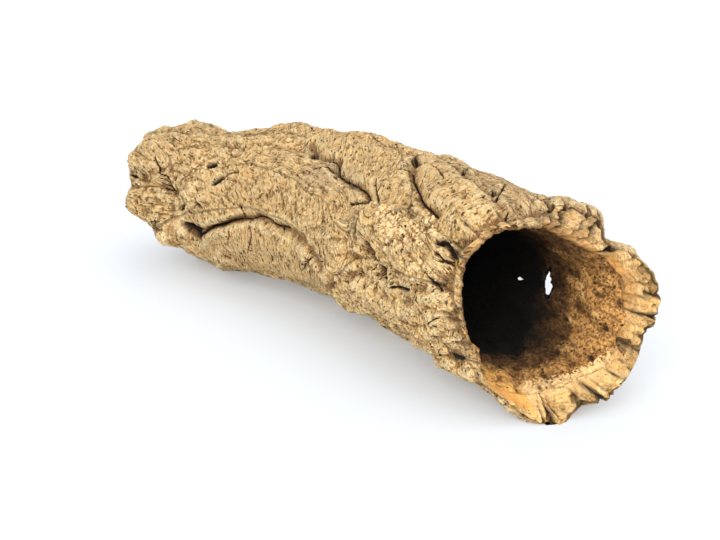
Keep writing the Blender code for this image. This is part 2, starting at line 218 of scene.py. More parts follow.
# %% [markdown]
# ## Rolls and creases
#
# Cork grows in rolls, because the bark splits as the branch swells and each strip then thickens
# by itself. A roll here is a route over the unrolled sheet with a half width and a height. Only
# the highest roll counts at each point, so where two meet they leave a crease, as real ones do.
# Each point also learns how far it lies along and across its own roll: the grain follows that.

# %% Rolls
ROLL_GROUND = -5.0
ROLL_SPREAD = 1.55
ROLL_BLEND = 8.0
JUNCTION_WIDTH = 0.9
JUNCTION_DEPTH = 0.6
JUNCTIONS_FROM = 130.0
JUNCTIONS_FADE = 40.0
ROLL_APART = 700.0
SMOOTHNESS_BLUR = 4
# Each roll: half width, height, and route as pairs of station and angle
ROLLS = {
    "belly": (26, 9, ((76, 114), (105, 105), (140, 99), (185, 97), (225, 101), (252, 110))),
    "shoulder": (21, 9, ((84, 66), (110, 60), (150, 53), (195, 57), (232, 68), (262, 84))),
    "far_crown": (29, 10, ((0, 42), (45, 40), (85, 32), (125, 22), (160, 6))),
    "far_flank": (16, 6, ((0, 80), (30, 80), (62, 80))),
    "flap": (16, 10, ((150, 34), (195, 38), (235, 44), (270, 54))),
    "brow": (22, 13, ((146, -14), (180, 0), (212, 12), (250, 21), (280, 33), (300, 46))),
    "collar": (20, 11, ((285, 4), (318, 15), (350, 24), (400, 34))),
    "crest": (20, 11, ((140, -14), (190, -19), (240, -17), (285, -16))),
    "back_ridge": (22, 6, ((235, -40), (290, -34), (345, -29), (420, -28))),
    "cheek": (17, 10, ((292, 62), (335, 58), (370, 60), (400, 64))),
    "jowl": (22, 9, ((266, 112), (310, 100), (345, 95), (378, 94), (405, 94))),
    "chin": (20, 2, ((320, 136), (365, 136), (420, 138))),
    "sole": (24, 10, ((280, 178), (350, 181), (440, 182))),
    "rear_foot": (19, 10, ((190, 214), (270, 221), (350, 225), (440, 227))),
    "rear_bulge": (21, 13, ((120, 242), (180, 260), (240, 248), (300, 268), (365, 256), (440, 266))),
    "rear_shelf": (18, 12, ((165, 308), (215, 292), (265, 306), (325, 290), (385, 298), (440, 290))),
    "far_foot": (24, 9, ((40, 176), (80, 186), (130, 198), (190, 208))),
    "far_rear": (23, 11, ((0, 226), (50, 233), (100, 242), (135, 248))),
    "far_shelf": (22, 11, ((0, 276), (60, 284), (115, 294), (170, 304))),
    "far_top": (22, 11, ((0, -24), (50, -30), (100, -36), (160, -44), (225, -46))),
    "underside": (22, 1, ((90, 146), (130, 150), (190, 158), (262, 158))),
}
# Greyed patches: station, angle, half length, half width, strength
WEATHERED = {
    "flap": (230, 40, 40, 16, 0.9),
    "ridge": (345, -16, 85, 34, 0.75),
    "rim": (392, -40, 34, 26, 0.6),
    "far_top": (50, -20, 62, 34, 0.5),
    "rear": (290, 292, 160, 30, 0.45),
    "far_rear": (60, 290, 90, 30, 0.4),
}
SMOOTHNESS = {
    "belly": 1.0, "shoulder": 0.6, "far_crown": 0.25, "brow": 0.95, "flap": 0.95, "collar": 0.7,
    "crest": 0.6, "back_ridge": 0.95, "far_top": 0.4, "rear_bulge": 0.6, "rear_shelf": 0.7,
    "far_shelf": 0.6, "sole": 0.5, "far_foot": 0.5,
}
# How far each roll's grain is turned from its route, in degrees
GRAIN_TURN = {
    "belly": 90, "shoulder": 52, "far_crown": 30, "brow": 25, "collar": 68, "crest": 20,
    "cheek": 35, "jowl": 80, "chin": 60, "sole": 80, "rear_bulge": 75, "rear_shelf": 15,
    "far_foot": 85, "far_rear": 40, "far_shelf": 20,
}


def along_route(station, angle, route):
    """Distance from the route, distance along it, and which side of it: arrays in millimetres."""
    gap, travel = np.full(np.shape(station), np.inf), np.zeros(np.shape(station))
    side, passed = np.ones(np.shape(station)), 0.0
    for (s0, a0), (s1, a1) in zip(route, route[1:]):
        a0, a1 = math.radians(a0), math.radians(a1)
        leg = np.array([s1 - s0, wrapped(a1 - a0) * UNROLL_RADIUS])
        spot = np.stack([station - s0, wrapped(angle - a0) * UNROLL_RADIUS], -1)
        share = np.clip(spot @ leg / (leg @ leg), 0, 1)
        apart = np.linalg.norm(spot - share[..., None] * leg, axis=-1)
        nearer = apart < gap
        gap = np.where(nearer, apart, gap)
        travel = np.where(nearer, passed + share * np.linalg.norm(leg), travel)
        turned = np.sign(leg[0] * spot[..., 1] - leg[1] * spot[..., 0])
        side = np.where(nearer, turned, side)
        passed += np.linalg.norm(leg)
    return gap, travel, side


def blurred(grid, reach):
    """Mean over a square of the sheet, which closes on itself round the tube."""
    padded = np.pad(grid, ((reach, reach), (0, 0)), mode="edge")
    total = sum(padded[step : step + len(grid)] for step in range(2 * reach + 1))
    grid = total / (2 * reach + 1)
    return sum(np.roll(grid, step, 1) for step in range(-reach, reach + 1)) / (2 * reach + 1)


def weathering(station, angle):
    grey = np.zeros(np.shape(station))
    for at_station, at_angle, half_length, half_width, strength in WEATHERED.values():
        along = (station - at_station) / half_length
        across = wrapped(angle - math.radians(at_angle)) * UNROLL_RADIUS / half_width
        grey = np.maximum(grey, strength * smooth_step(2.5 * (1 - np.hypot(along, across))))
    return grey


def roll_forms(station, angle):
    """The rolls' height, where they meet, the grain's two measures, and how smooth the bark is."""
    highest, second = np.zeros(np.shape(station)), np.zeros(np.shape(station))
    along, across = station.copy(), wrapped(angle) * UNROLL_RADIUS
    smooth = np.zeros(np.shape(station))
    for number, (name, (half_width, height, route)) in enumerate(ROLLS.items()):
        gap, travel, side = along_route(station, angle, route)
        here = height * np.clip(1 - (gap / half_width / ROLL_SPREAD) ** 2, 0, 1)
        wins = here > highest
        second = np.where(wins, highest, np.maximum(second, here))
        highest = np.where(wins, here, highest)
        turn = math.radians(GRAIN_TURN.get(name, 0.0))
        lengthwise = travel * math.cos(turn) + gap * side * math.sin(turn) + ROLL_APART * number
        sideways = gap * side * math.cos(turn) - travel * math.sin(turn)
        along, across = np.where(wins, lengthwise, along), np.where(wins, sideways, across)
        smooth = np.where(wins, SMOOTHNESS.get(name, 0.0), smooth)
    junction = np.clip(1 - (highest - second) / JUNCTION_WIDTH, 0, 1) * np.clip(second / 2, 0, 1)
    closeness = np.clip(1 - (highest - second) / ROLL_BLEND, 0, 1)
    height = ROLL_GROUND + highest + closeness**2 * ROLL_BLEND / 4
    return height, junction, along, across, blurred(smooth, SMOOTHNESS_BLUR)


print(len(ROLLS), "rolls")

# %% Creases, pits and knobs of the solid
# Each crease: half width, depth and route
CREASES = {
    "belly_split": (
        6, 5, ((74, 101), (96, 97), (114, 91), (135, 84), (160, 78), (187, 80), (222, 84), (246, 97)),
    ),
    "crown_split": (8, 4, ((4, 8), (30, 14), (60, 16), (92, 12), (122, 6))),
    "far_split": (7, 3, ((20, 64), (48, 68), (72, 76))),
    "flap_split": (6, 4, ((176, 14), (198, 25), (223, 27), (236, 36), (255, 41), (277, 43), (290, 48))),
    "collar_split": (7, 4, ((284, 8), (298, 20), (318, 29), (342, 35), (356, 38))),
    "ridge_split": (8, 3, ((262, -14), (310, -6), (352, 4), (392, 10))),
    "cheek_split": (8, 4, ((342, 80), (360, 88), (378, 78), (402, 73))),
    "rear_notch": (8, 6, ((330, 308), (390, 308), (450, 307))),
    "foot_notch": (8, 6, ((350, 243), (450, 241))),
    "rear_split": (9, 5, ((60, 262), (95, 276), (130, 268), (165, 282), (205, 276))),
    "rear_fold": (8, 4, ((250, 272), (285, 288), (320, 276), (345, 280))),
    "low_split": (9, 4, ((20, 208), (70, 224), (110, 216), (160, 236))),
    "low_fold": (8, 3, ((215, 226), (255, 240), (300, 232))),
}
# Each pit: station, angle, radius and depth
PITS = {
    "split_mouth": (78, 101, 9, 10),
    "upper_knot": (302, 73, 9, 9),
    "lower_knot": (324, 85, 10, 9),
    "lip_knot": (394, 122, 8, 8),
    "crown_pit": (112, 13, 7, 6),
    "flank_hollow": (52, 60, 12, 5),
    "far_hollow": (62, 132, 20, 5),
    "rear_knot": (70, 262, 9, 9),
    "shelf_pit": (232, 312, 8, 8),
    "foot_pit": (290, 232, 8, 7),
    "under_pit": (150, 172, 8, 6),
}
# Each knob: station, angle, half length, half width and height
KNOBS = {
    "far_cap": (0, 8, 9, 16, 5),
    "far_lump": (26, 40, 15, 15, 3),
    "far_brow": (4, 50, 12, 18, 5),
    "far_knob": (30, -15, 11, 14, 3),
    "far_valley": (9, -24, 12, 12, -11),
    "far_dip": (62, -27, 20, 16, -8),
    "far_chin": (36, 113, 14, 14, 9),
    "far_sole_dip": (47, 161, 18, 17, -9),
    "far_nose": (8, 84, 9, 9, 4),
    "crest_knob": (120, -20, 19, 14, 8),
    "brow_knob": (210, -6, 22, 14, 5),
    "ridge_dip": (364, -24, 20, 14, -4),
    "ridge_saddle": (302, -25, 12, 12, -3),
    "rim_knob": (393, -35, 15, 16, 5),
    "rim_knob_side": (403, -46, 12, 10, 6),
    "rim_notch": (402, 300, 12, 7, -13),
    "rim_shoulder": (424, 278, 16, 11, 12),
    "rim_dome": (410, 290, 13, 9, 4),
    "rim_shelf": (430, 260, 22, 13, 12),
    "rim_cleft": (440, 241, 12, 8, -11),
    "rim_foot": (440, 209, 14, 10, 5),
    "rim_toe": (441, 220, 10, 7, -5),
    "rim_heel": (439, 194, 8, 6, -4),
    "rim_sole": (434, 178, 18, 14, 7),
    "rim_chin": (426, 157, 14, 12, 4),
    "rim_jaw": (380, 150, 10, 8, -3),
    "rim_cheek": (408, 142, 18, 12, -6),
    "belly_low": (165, 150, 34, 15, -4),
    "middle_low": (232, 130, 26, 15, -4),
    "brow_low": (268, 148, 24, 13, -5),
    "cheek_low": (356, 130, 18, 12, -3),
    "belly_foot": (104, 122, 12, 9, 5),
    "rear_knob": (200, 262, 20, 16, 5),
}
LINE_REACH = 4.0
BULGE_LENGTH = 30.0
BULGE_WIDTH = 20.0
BULGE_HEIGHT = 7.0
BULGE_START = 3.1
LUMPS = 120
LUMP_RADIUS = (7.0, 15.0)
LUMP_HEIGHT = (-2.4, 2.6)
SCATTER_SEED = 11


def split_depth(station, angle, splits, sharpness=1.0):
    """Depth of a family of creases or cracks, each a half width, a depth and a route."""
    deepest = np.zeros(np.shape(station))
    for half_width, depth, route in splits.values():
        gap = along_route(station, angle, route)[0] / half_width
        deepest = np.maximum(deepest, depth * smooth_step(1 - gap) ** sharpness)
    return deepest


def crack_lines(station, angle, splits):
    """For crisp lines: the distance to the nearest crack, under zero on its right, and its nearness."""
    side_of, near = np.full(np.shape(station), LINE_REACH), np.zeros(np.shape(station))
    for half_width, depth, route in splits.values():
        gap, travel, side = along_route(station, angle, route)
        nearer = gap < np.abs(side_of)
        side_of = np.where(nearer, gap * side, side_of)
        near = np.where(nearer, half_width * smooth_step(1.5 * (1 - gap / LINE_REACH)), near)
    return side_of, near


def bump(station, angle, at_station, at_angle, half_length, half_width):
    along = (station - at_station) / half_length
    across = wrapped(angle - math.radians(at_angle)) * UNROLL_RADIUS / half_width
    return np.exp(-(along**2) - across**2)


def scattered_lumps(station, angle):
    chance = random.Random(SCATTER_SEED)
    height = np.zeros(np.shape(station))
    for _ in range(LUMPS):
        at_station, at_angle = chance.uniform(0, LENGTH), chance.uniform(0, 360)
        radius, tall = chance.uniform(*LUMP_RADIUS), chance.uniform(*LUMP_HEIGHT)
        height += tall * bump(station, angle, at_station, at_angle, 1.4 * radius, radius)
    return height


print(len(CREASES), "creases,", len(PITS), "pits,", len(KNOBS), "knobs and", LUMPS, "small lumps")

# %% [markdown]
# ## Plates, ledges, cracks and pores
#
# This is what the solid leaves out. Old cork parts into small plates, each a little higher or
# lower than its neighbours. It breaks off in layers, which leaves steps with short steep edges,
# like the contour lines of a map: a smooth noise cut into terraces makes the same. The long dark
# fissures follow the creases, and short cracks cross the rolls. Noise is read on the straightened
# tube, so that it runs round it with no seam.

# %% Noise on the bark
PLATE_LENGTH = 34.0
PLATE_WIDTH = 20.0
FURROW_SHARE = 0.3
FURROW_DEPTH = 1.8


def on_bark(kind, station, angle, along, around, shift=0.0):
    """Reads a noise whose lumps are this long and this wide, at every point of the bark."""
    ring = UNROLL_RADIUS / around
    spots = np.stack([station / along + shift, ring * np.sin(angle), ring * np.cos(angle)], -1)
    values = np.array([kind(spot) for spot in spots.reshape(-1, 3).tolist()])
    return values.reshape(station.shape + values.shape[1:])


def rough(octaves):
    return lambda spot: noise.fractal(spot, 0.7, 2.1, octaves)


def nearest_two(spot):
    """Distances to the two nearest plate middles, and a random number for the nearest plate."""
    apart, middles = noise.voronoi(spot)
    return apart[0], apart[1], noise.cell(middles[0] * 7.3)


def plates(station, angle, length, width, shift=0.0):
    """How deep in a furrow each point is, from 0 to 1, and its plate's own random number."""
    near, second, number = np.moveaxis(
        on_bark(nearest_two, station, angle, length, width, shift), -1, 0
    )
    return np.clip(1 - (second - near) / FURROW_SHARE, 0, 1), number


def terraced(height, step, edge):
    """A slope cut into flat ledges one step high, each with a short steep edge."""
    level = height / step
    whole = np.floor(level)
    return step * (whole + smooth_step((level - whole - (1 - edge)) / edge))


# %% Fissures and cracks
# Each fissure: half width, depth and route
FISSURES = {
    "belly_hole": (5.5, 9.0, ((72, 99), (84, 105))),
    "belly_wide": (1.7, 6.0, ((86, 104), (96, 98), (104, 94), (114, 91), (124, 87), (135, 84))),
    "belly_thin": (1.0, 3.0, ((135, 84), (150, 82), (160, 78), (172, 77), (187, 81), (200, 80))),
    "belly_branch": (1.1, 3.0, ((136, 74), (140, 79), (137, 84))),
    "brow_hole": (3.2, 8.0, ((187, 22), (193, 26))),
    "brow_edge": (
        0.9, 2.5,
        ((196, 26), (212, 26), (223, 28), (236, 36), (243, 38), (255, 40), (264, 41), (277, 43), (288, 47)),
    ),
    "flap_line": (0.9, 2.2, ((207, 36), (220, 35), (231, 37))),
    "flap_end": (1.1, 4.0, ((272, 53), (280, 51), (290, 47))),
    "brow_foot": (0.9, 2.0, ((283, 36), (291, 41), (303, 47))),
    "collar_top": (1.7, 4.0, ((282, 9), (294, 7))),
    "collar_line": (0.8, 1.5, ((294, 7), (313, 10), (332, 15))),
    "collar": (1.0, 3.0, ((298, 20), (306, 25), (318, 29), (329, 32), (342, 35), (355, 38))),
    "ridge": (1.0, 3.0, ((350, -14), (360, -4), (369, 8))),
    "knot_top": (4.2, 6.0, ((299, 72), (307, 75))),
    "knot_low": (5.2, 6.0, ((320, 83), (330, 86))),
    "rim_gash": (2.2, 5.0, ((368, 52), (371, 49), (377, 56), (387, 52))),
    "rim_gash_side": (1.0, 3.0, ((370, 58), (376, 61), (383, 57))),
    "chin_line": (1.0, 3.0, ((371, 72), (375, 76), (381, 79))),
    "chin_fold": (1.4, 4.0, ((345, 87), (350, 85), (362, 83))),
    "cross_line": (0.9, 3.0, ((218, 104), (227, 98), (234, 94))),
    "flank_line": (1.0, 3.0, ((279, 99), (288, 101), (293, 109))),
    "lip_line": (1.4, 3.0, ((382, 7), (387, 15), (391, 24))),
    "back_pit_1": (2.2, 4.0, ((280, 5), (284, 8))),
    "back_pit_2": (1.8, 3.0, ((312, -10), (316, -7))),
    "back_pit_3": (1.8, 3.0, ((356, -1), (360, 1))),
    "rim_line": (0.9, 2.5, ((374, 62), (380, 61), (386, 64))),
    "lip_hole": (3.6, 7.0, ((391, 124), (399, 123))),
    "far_hole_1": (2.8, 6.0, ((92, 50), (98, 48))),
    "far_hole_2": (2.6, 6.0, ((104, 60), (109, 56))),
    "far_fold": (0.9, 2.0, ((109, 56), (119, 52), (128, 49))),
    "far_hole_3": (2.4, 5.0, ((70, 83), (73, 81))),
    "far_hole_4": (1.6, 4.0, ((88, 77), (93, 79))),
    "far_hook": (0.9, 2.5, ((30, 46), (35, 51), (37, 57))),
    "low_hole_1": (2.0, 5.0, ((64, 110), (67, 111))),
    "low_hole_2": (1.8, 4.0, ((116, 117), (119, 119))),
    "low_hole_3": (1.5, 4.0, ((124, 105), (127, 106))),
    "rim_nick": (2.4, 4.0, ((8, 62), (12, 63))),
    "belly_cross_1": (0.8, 2.5, ((153, 86), (156, 92), (154, 98), (150, 104))),
    "belly_cross_2": (0.8, 2.5, ((214, 90), (218, 97), (215, 104))),
    "belly_cross_3": (0.7, 2.0, ((228, 94), (231, 101), (229, 107))),
    "belly_cross_4": (0.8, 2.0, ((176, 96), (179, 102), (177, 108))),
}
RIPPLES = 4
RIPPLE_START = (36, 57)
RIPPLE_STEP = (3, 4)
RIPPLE_HALF_WIDTH = 0.8
RIPPLE_DEPTH = 2.2
for number in range(RIPPLES):
    start, turn = (place + number * step for place, step in zip(RIPPLE_START, RIPPLE_STEP))
    ripple = ((start, turn), (start + 8, turn + 1), (start + 14, turn + 5))
    FISSURES[f"ripple_{number}"] = (RIPPLE_HALF_WIDTH, RIPPLE_DEPTH, ripple)
CRACKS = 130
CRACK_LENGTH = (3.0, 10.0)
CRACK_HALF_WIDTH = (0.5, 1.1)
CRACK_DEPTH = (0.6, 2.0)
CRACK_SEED = 5


def scattered_cracks():
    """Short cracks over the whole skin, most of them crossing the branch."""
    chance = random.Random(CRACK_SEED)
    made = {}
    for number in range(CRACKS):
        station, angle = chance.uniform(0, LENGTH), chance.uniform(0, 360)
        half, lean = chance.uniform(*CRACK_LENGTH) / 2, math.radians(chance.gauss(90, 28))
        bow = chance.uniform(-2.0, 2.0)
        along, around = half * math.cos(lean), math.degrees(half * math.sin(lean) / UNROLL_RADIUS)
        ends = ((station - along, angle - around), (station + bow, angle), (station + along, angle + around))
        made[f"crack_{number}"] = (chance.uniform(*CRACK_HALF_WIDTH), chance.uniform(*CRACK_DEPTH), ends)
    return made


SMALL_CRACKS = scattered_cracks()
print(len(FISSURES), "fissures and", len(SMALL_CRACKS), "small cracks")

# %% The skin's height, from rolls to pores
WANDER = 3.0
WANDER_LENGTH = 26.0
WANDER_STARTS = (3.7, 53.7)
LEDGE_SLOPE = 4.2
LEDGE_STEP = 1.3
LEDGE_EDGE = 0.3
FINE_LEDGE_SLOPE = 2.4
FINE_LEDGE_STEP = 0.8
FINE_LEDGE_EDGE = 0.35
PLATE_STEP = 1.0
SMALL_FURROW_DEPTH = 0.7
GRAIN_HEIGHT = 0.35
GRAIN_LENGTH = 38.0
GRAIN_WIDTH = 2.6
GRIT_HEIGHT = 0.9
PORE_DEPTH = 1.3
PORE_SPACING = 8.0
PORE_SHARE = 0.26
DARK_CRACK = 4.5
FAR_DARKENING_TO = 150.0
# Where each noise is read: length and width of its lumps, and a start
JUNCTION_NOISE = (30.0, 24.0, 6.6)
SMALL_PLATES = (13.0, 8.0, 9.1)
LEDGES_AT = (34.0, 20.0, 1.3)
FINE_LEDGES_AT = (12.0, 9.0, 5.9)
GRAIN_PATCHES = (60.0, 40.0, 8.8)
CRUMBLY_PATCHES = (45.0, 30.0, 2.2)
GRIT_AT = (5.0, 5.0, 4.4)


def wandering(station, angle):
    """Shifts each point a little, so that routes drawn with few points wander like real ones."""
    lengthwise, around = (
        WANDER * on_bark(noise.noise, station, angle, WANDER_LENGTH, WANDER_LENGTH, start)
        for start in WANDER_STARTS
    )
    return station + lengthwise, angle + around / UNROLL_RADIUS


def grain(along, across):
    """Fine ridges that run with the grain."""
    spots = np.stack([along / GRAIN_LENGTH, across / GRAIN_WIDTH, np.zeros_like(along)], -1).reshape(-1, 3)
    values = np.array([noise.fractal(spot, 0.8, 2.2, 3) for spot in spots.tolist()])
    return values.reshape(along.shape)


def folded(spot):
    """Round lumps with sharp creases between them: the size of a noise that changes sign."""
    return abs(noise.noise(spot)) + 0.4 * abs(noise.noise([2.3 * value for value in spot]))


def broad_radius(station, s, a, rolls, smooth):
    """The skin with the forms that the solid has too, but for its creases and furrows."""
    bulges = on_bark(folded, s, a, BULGE_LENGTH, BULGE_WIDTH, BULGE_START)
    radius = plain_radius(station) + rolls + scattered_lumps(s, a)
    radius += BULGE_HEIGHT * (1 - 0.75 * smooth) * (bulges - 0.25)
    for at_station, at_angle, half_length, half_width, height in KNOBS.values():
        radius += height * bump(s, a, at_station, at_angle, half_length, half_width)
    for at_station, at_angle, pit_radius, depth in PITS.values():
        radius -= depth * bump(s, a, at_station, at_angle, pit_radius, pit_radius)
    return radius


def with_plates(radius, s, a, smooth):
    """Furrows part the skin into plates, each a little higher or lower than its neighbours."""
    furrow, plate = plates(s, a, PLATE_LENGTH, PLATE_WIDTH)
    small_furrow, small_plate = plates(s, a, *SMALL_PLATES)
    broken = 1 - 0.85 * smooth
    radius = radius - broken * (FURROW_DEPTH * furrow**2 + SMALL_FURROW_DEPTH * small_furrow**2)
    return radius + broken * PLATE_STEP * (plate - 0.5 + 0.5 * (small_plate - 0.5))


def with_ledges(radius, s, a, smooth):
    slope = LEDGE_SLOPE * on_bark(rough(4), s, a, *LEDGES_AT)
    radius = radius + (1 - 0.35 * smooth) * (terraced(slope, LEDGE_STEP, LEDGE_EDGE) - 0.6 * slope)
    fine = FINE_LEDGE_SLOPE * on_bark(rough(4), s, a, *FINE_LEDGES_AT)
    return radius + (1 - 0.6 * smooth) * (terraced(fine, FINE_LEDGE_STEP, FINE_LEDGE_EDGE) - 0.5 * fine)


def with_grain(radius, station, angle, along, across, crumbly):
    """Ridges along the grain, and grit that is rougher where the bark is crumbly."""
    grainy = smooth_step(0.5 + 1.6 * on_bark(rough(2), station, angle, *GRAIN_PATCHES))
    radius = radius + GRAIN_HEIGHT * grainy * grain(along, across)
    return radius + GRIT_HEIGHT * (0.4 + crumbly) * on_bark(rough(3), station, angle, *GRIT_AT)


def pore_mask(station, angle):
    nearest = on_bark(nearest_two, station, angle, PORE_SPACING, PORE_SPACING)[..., 0]
    return smooth_step(np.clip(1 - nearest / PORE_SHARE, 0, 1))


def skin_forms(station, angle):
    """The skin's distance from the tube's middle, and the masks that its colours follow."""
    s, a = wandering(station, angle)
    rolls, junction, along, across, smooth = roll_forms(s, a)
    junction *= smooth_step(0.3 + 1.6 * on_bark(rough(2), station, angle, *JUNCTION_NOISE))
    junction *= smooth_step((station - JUNCTIONS_FROM) / JUNCTIONS_FADE)
    crumbly = smooth_step(0.5 + 2.0 * on_bark(rough(2), station, angle, *CRUMBLY_PATCHES))
    crumbly = crumbly * (1 - 0.7 * smooth)
    radius = broad_radius(station, s, a, rolls, smooth)
    radius -= split_depth(s, a, CREASES) + JUNCTION_DEPTH * junction
    radius = with_ledges(with_plates(radius, s, a, smooth), s, a, smooth)
    radius = with_grain(radius, station, angle, along, across, crumbly)
    pore = pore_mask(station, angle)
    crack = split_depth(s, a, FISSURES, 0.7)
    radius -= PORE_DEPTH * pore
    radius -= crack + split_depth(s, a, SMALL_CRACKS, 0.8)
    line_side, line_near = crack_lines(s, a, FISSURES | SMALL_CRACKS)
    return radius, {
        "crack": np.clip(smooth_step(crack / DARK_CRACK) ** 2 + 0.25 * junction**2, 0, 1),
        "line_side": line_side,
        "line_near": line_near,
        "smooth": smooth,
        "weathered": weathering(s, a),
        "pore": pore,
        "crumbly": crumbly,
        # the skin darkens towards the far end
        "far_darkening": smooth_step(1 - station / FAR_DARKENING_TO),
        "grain_along": along,
        "grain_across": across,
    }


# %% [markdown]
# ## The bore and the two broken ends
#
# The wood rotted out of the branch and left a wavy, pitted bore. The mouth is a slanting break
# that faces forward and a little up. In front the skin rounds over to a thin lip, and behind and
# below the wall is thick and split by deep cracks. The wall's broken face is drawn by moving from
# the skin to the bore at one angle.

# %% Ends and bore
MOUTH_TURN = 15.0
MOUTH_LEAN = 20.0
REAR_ROUNDING = 8.0
ROUNDING_REACH = 9.0
LIP = 1.4
LIP_CROWN = 3.0
LIP_REACH = 15.0
LIP_FROM = -12.0
LIP_TO = 128.0
LIP_BLEND = 12.0
REAR_INSET = 10.0
EDGE_WANDER = 2.6
EDGE_FLARE = 7.0
EDGE_FLARE_MORE = 8.0
EDGE_FLARE_ANGLE = 275.0
EDGE_FLARE_SPAN = 48.0
EDGE_FLARE_REACH = 11.0
# Where the mouth's edge strays from a round bore: angle, half width in degrees, distance
EDGE_WAVES = ((334, 22, -7.5), (306, 17, -9.0), (8, 16, -2.0), (46, 18, 5.0), (80, 20, 2.5))
EDGE_WAVE_REACH = 16.0
FAR_STEP = 33.0
FAR_STEP_FROM = 104.0
FAR_STEP_TO = 222.0
FAR_STEP_BLEND = 14.0
FAR_NICK = 6.0
FAR_NICK_ANGLE = 63.0
FAR_NICK_WIDTH = 20.0
FAR_TAPER = 5.0
FAR_TAPER_REACH = 8.0
RIM_BULGE = 0.32
FAR_BULGE = 0.1
FAR_BORE = 30.0
MIDDLE_BORE = 44.0
MOUTH_BORE = 47.0
BORE_WIDENING = 130.0
FLARE_REACH = 45.0
THINNEST_WALL = 9.0
THINNEST_LIP = 1.4


def raggedness(angle, size):
    """The uneven line of a broken edge, the same all the way through the wall."""
    return size * (np.sin(5 * angle + 0.6) + 0.8 * np.sin(8 * angle + 2.1) + 0.5 * np.sin(13 * angle)) / 2


def mouth_station(angle, radius):
    turn, lean = math.radians(MOUTH_TURN), math.radians(MOUTH_LEAN)
    slope = np.sin(angle) * math.tan(turn) + np.cos(angle) * math.tan(lean) / math.cos(turn)
    return LENGTH - radius * slope + raggedness(angle, 2.0)


def far_station(angle):
    turned = np.degrees(angle) % 360
    rise = smooth_step((turned - FAR_STEP_FROM) / (2 * FAR_STEP_BLEND) + 0.5)
    fall = smooth_step((FAR_STEP_TO - turned) / (4 * FAR_STEP_BLEND) + 0.5)
    nick = FAR_NICK * np.exp(-(((turned - FAR_NICK_ANGLE) / FAR_NICK_WIDTH) ** 2))
    return FAR_STEP * rise * fall + nick + raggedness(angle + 1.0, 2.4)


def edge_flare(angle, inward):
    """How much the bore widens where it meets a thick wall, this far in from its edge."""
    turned = np.degrees(wrapped(angle - math.radians(EDGE_FLARE_ANGLE))) / EDGE_FLARE_SPAN
    flare = EDGE_FLARE + EDGE_FLARE_MORE * np.exp(-(turned**2))
    flare = flare * (1 - thin_lip(angle)) * np.exp(-inward / EDGE_FLARE_REACH)
    for at_angle, half_width, height in EDGE_WAVES:
        turned = np.degrees(wrapped(angle - math.radians(at_angle))) / half_width
        flare = flare + height * np.exp(-(turned**2) - inward / EDGE_WAVE_REACH)
    return flare


def bore_radius(station, angle):
    radius = FAR_BORE + (MIDDLE_BORE - FAR_BORE) * smooth_step(station / BORE_WIDENING)
    radius += (MOUTH_BORE - MIDDLE_BORE) * np.exp((station - LENGTH) / FLARE_REACH)
    return radius + 1.6 * np.sin(3 * angle + station / 55) + 1.2 * np.sin(5 * angle - station / 34)


def thin_lip(angle):
    """1 where the mouth's edge is a thin lip, in front and on top, and 0 where its wall is thick."""
    centre, half = math.radians(LIP_FROM + LIP_TO) / 2, math.radians(LIP_TO - LIP_FROM) / 2
    inside = half - np.abs(wrapped(angle - centre))
    return smooth_step(inside / math.radians(2 * LIP_BLEND) + 0.5)


def end_rounding(station, angle, first, last):
    """How far the skin is drawn in where it rounds over at the two ends."""
    thickness = plain_radius(station) + LIP_CROWN - bore_radius(station, angle)
    front = (thickness - LIP) * np.exp((station - last) / LIP_REACH)
    rear = REAR_ROUNDING * np.exp((station - last) / ROUNDING_REACH)
    share = thin_lip(angle)
    return share * front + (1 - share) * rear + FAR_TAPER * np.exp((first - station) / FAR_TAPER_REACH)


# %% Cracks in the wall at the mouth
# Each crack at the mouth: angle, half width and depth
RIM_CRACKS = (
    (172, 1.4, 3), (177, 1.8, 5), (181, 1.2, 3), (196, 1.6, 2.5), (207, 2.4, 5), (213, 1.4, 3), (222, 1.2, 3),
    (232, 1.4, 3), (242, 2.2, 4), (249, 1.6, 3), (254, 1.2, 3), (260, 1.9, 5), (265, 1.2, 3), (270, 1.7, 3),
    (277, 1.2, 2), (285, 1.3, 1.5), (301, 2.6, 5), (316, 1.6, 4), (322, 1.4, 3), (334, 2.0, 5), (341, 1.6, 4),
    (12, 1.6, 2), (33, 1.6, 2), (52, 2.4, 4), (72, 1.6, 2), (95, 1.6, 2), (112, 2.0, 3), (128, 1.6, 2),
)
RIM_CRACK_REACH = 18.0


def rim_crack_depth(station, angle, last):
    """Cracks that start at the mouth's edge and run back along the skin."""
    back = np.clip(1 - (last - station) / RIM_CRACK_REACH, 0, 1) ** 0.7
    deepest = np.zeros(np.shape(angle))
    wobble = 0.8 * np.sin((last - station) / 3.1) + 0.5 * np.sin((last - station) / 1.7 + 2)
    for at_angle, half_width, depth in RIM_CRACKS:
        gap = np.abs(wrapped(angle - math.radians(at_angle)) * UNROLL_RADIUS + wobble) / half_width
        deepest = np.maximum(deepest, depth * back * smooth_step(1 - gap))
    return deepest


print(len(RIM_CRACKS), "cracks at the mouth")

# %% [markdown]
# ## One sheet wrapped into a closed skin
#
# The whole surface is one sheet: its rows run round the tube, first over the skin from the far
# end to the mouth, then over the broken wall at the mouth, back through the bore, and over the
# broken wall at the far end. Its first row meets its last, and so do its first and last columns.
# So bmesh makes a plain grid, the grid's corners are moved to their places, and welding the two
# seams closes it. The columns stand closer together on the side that the photograph shows.

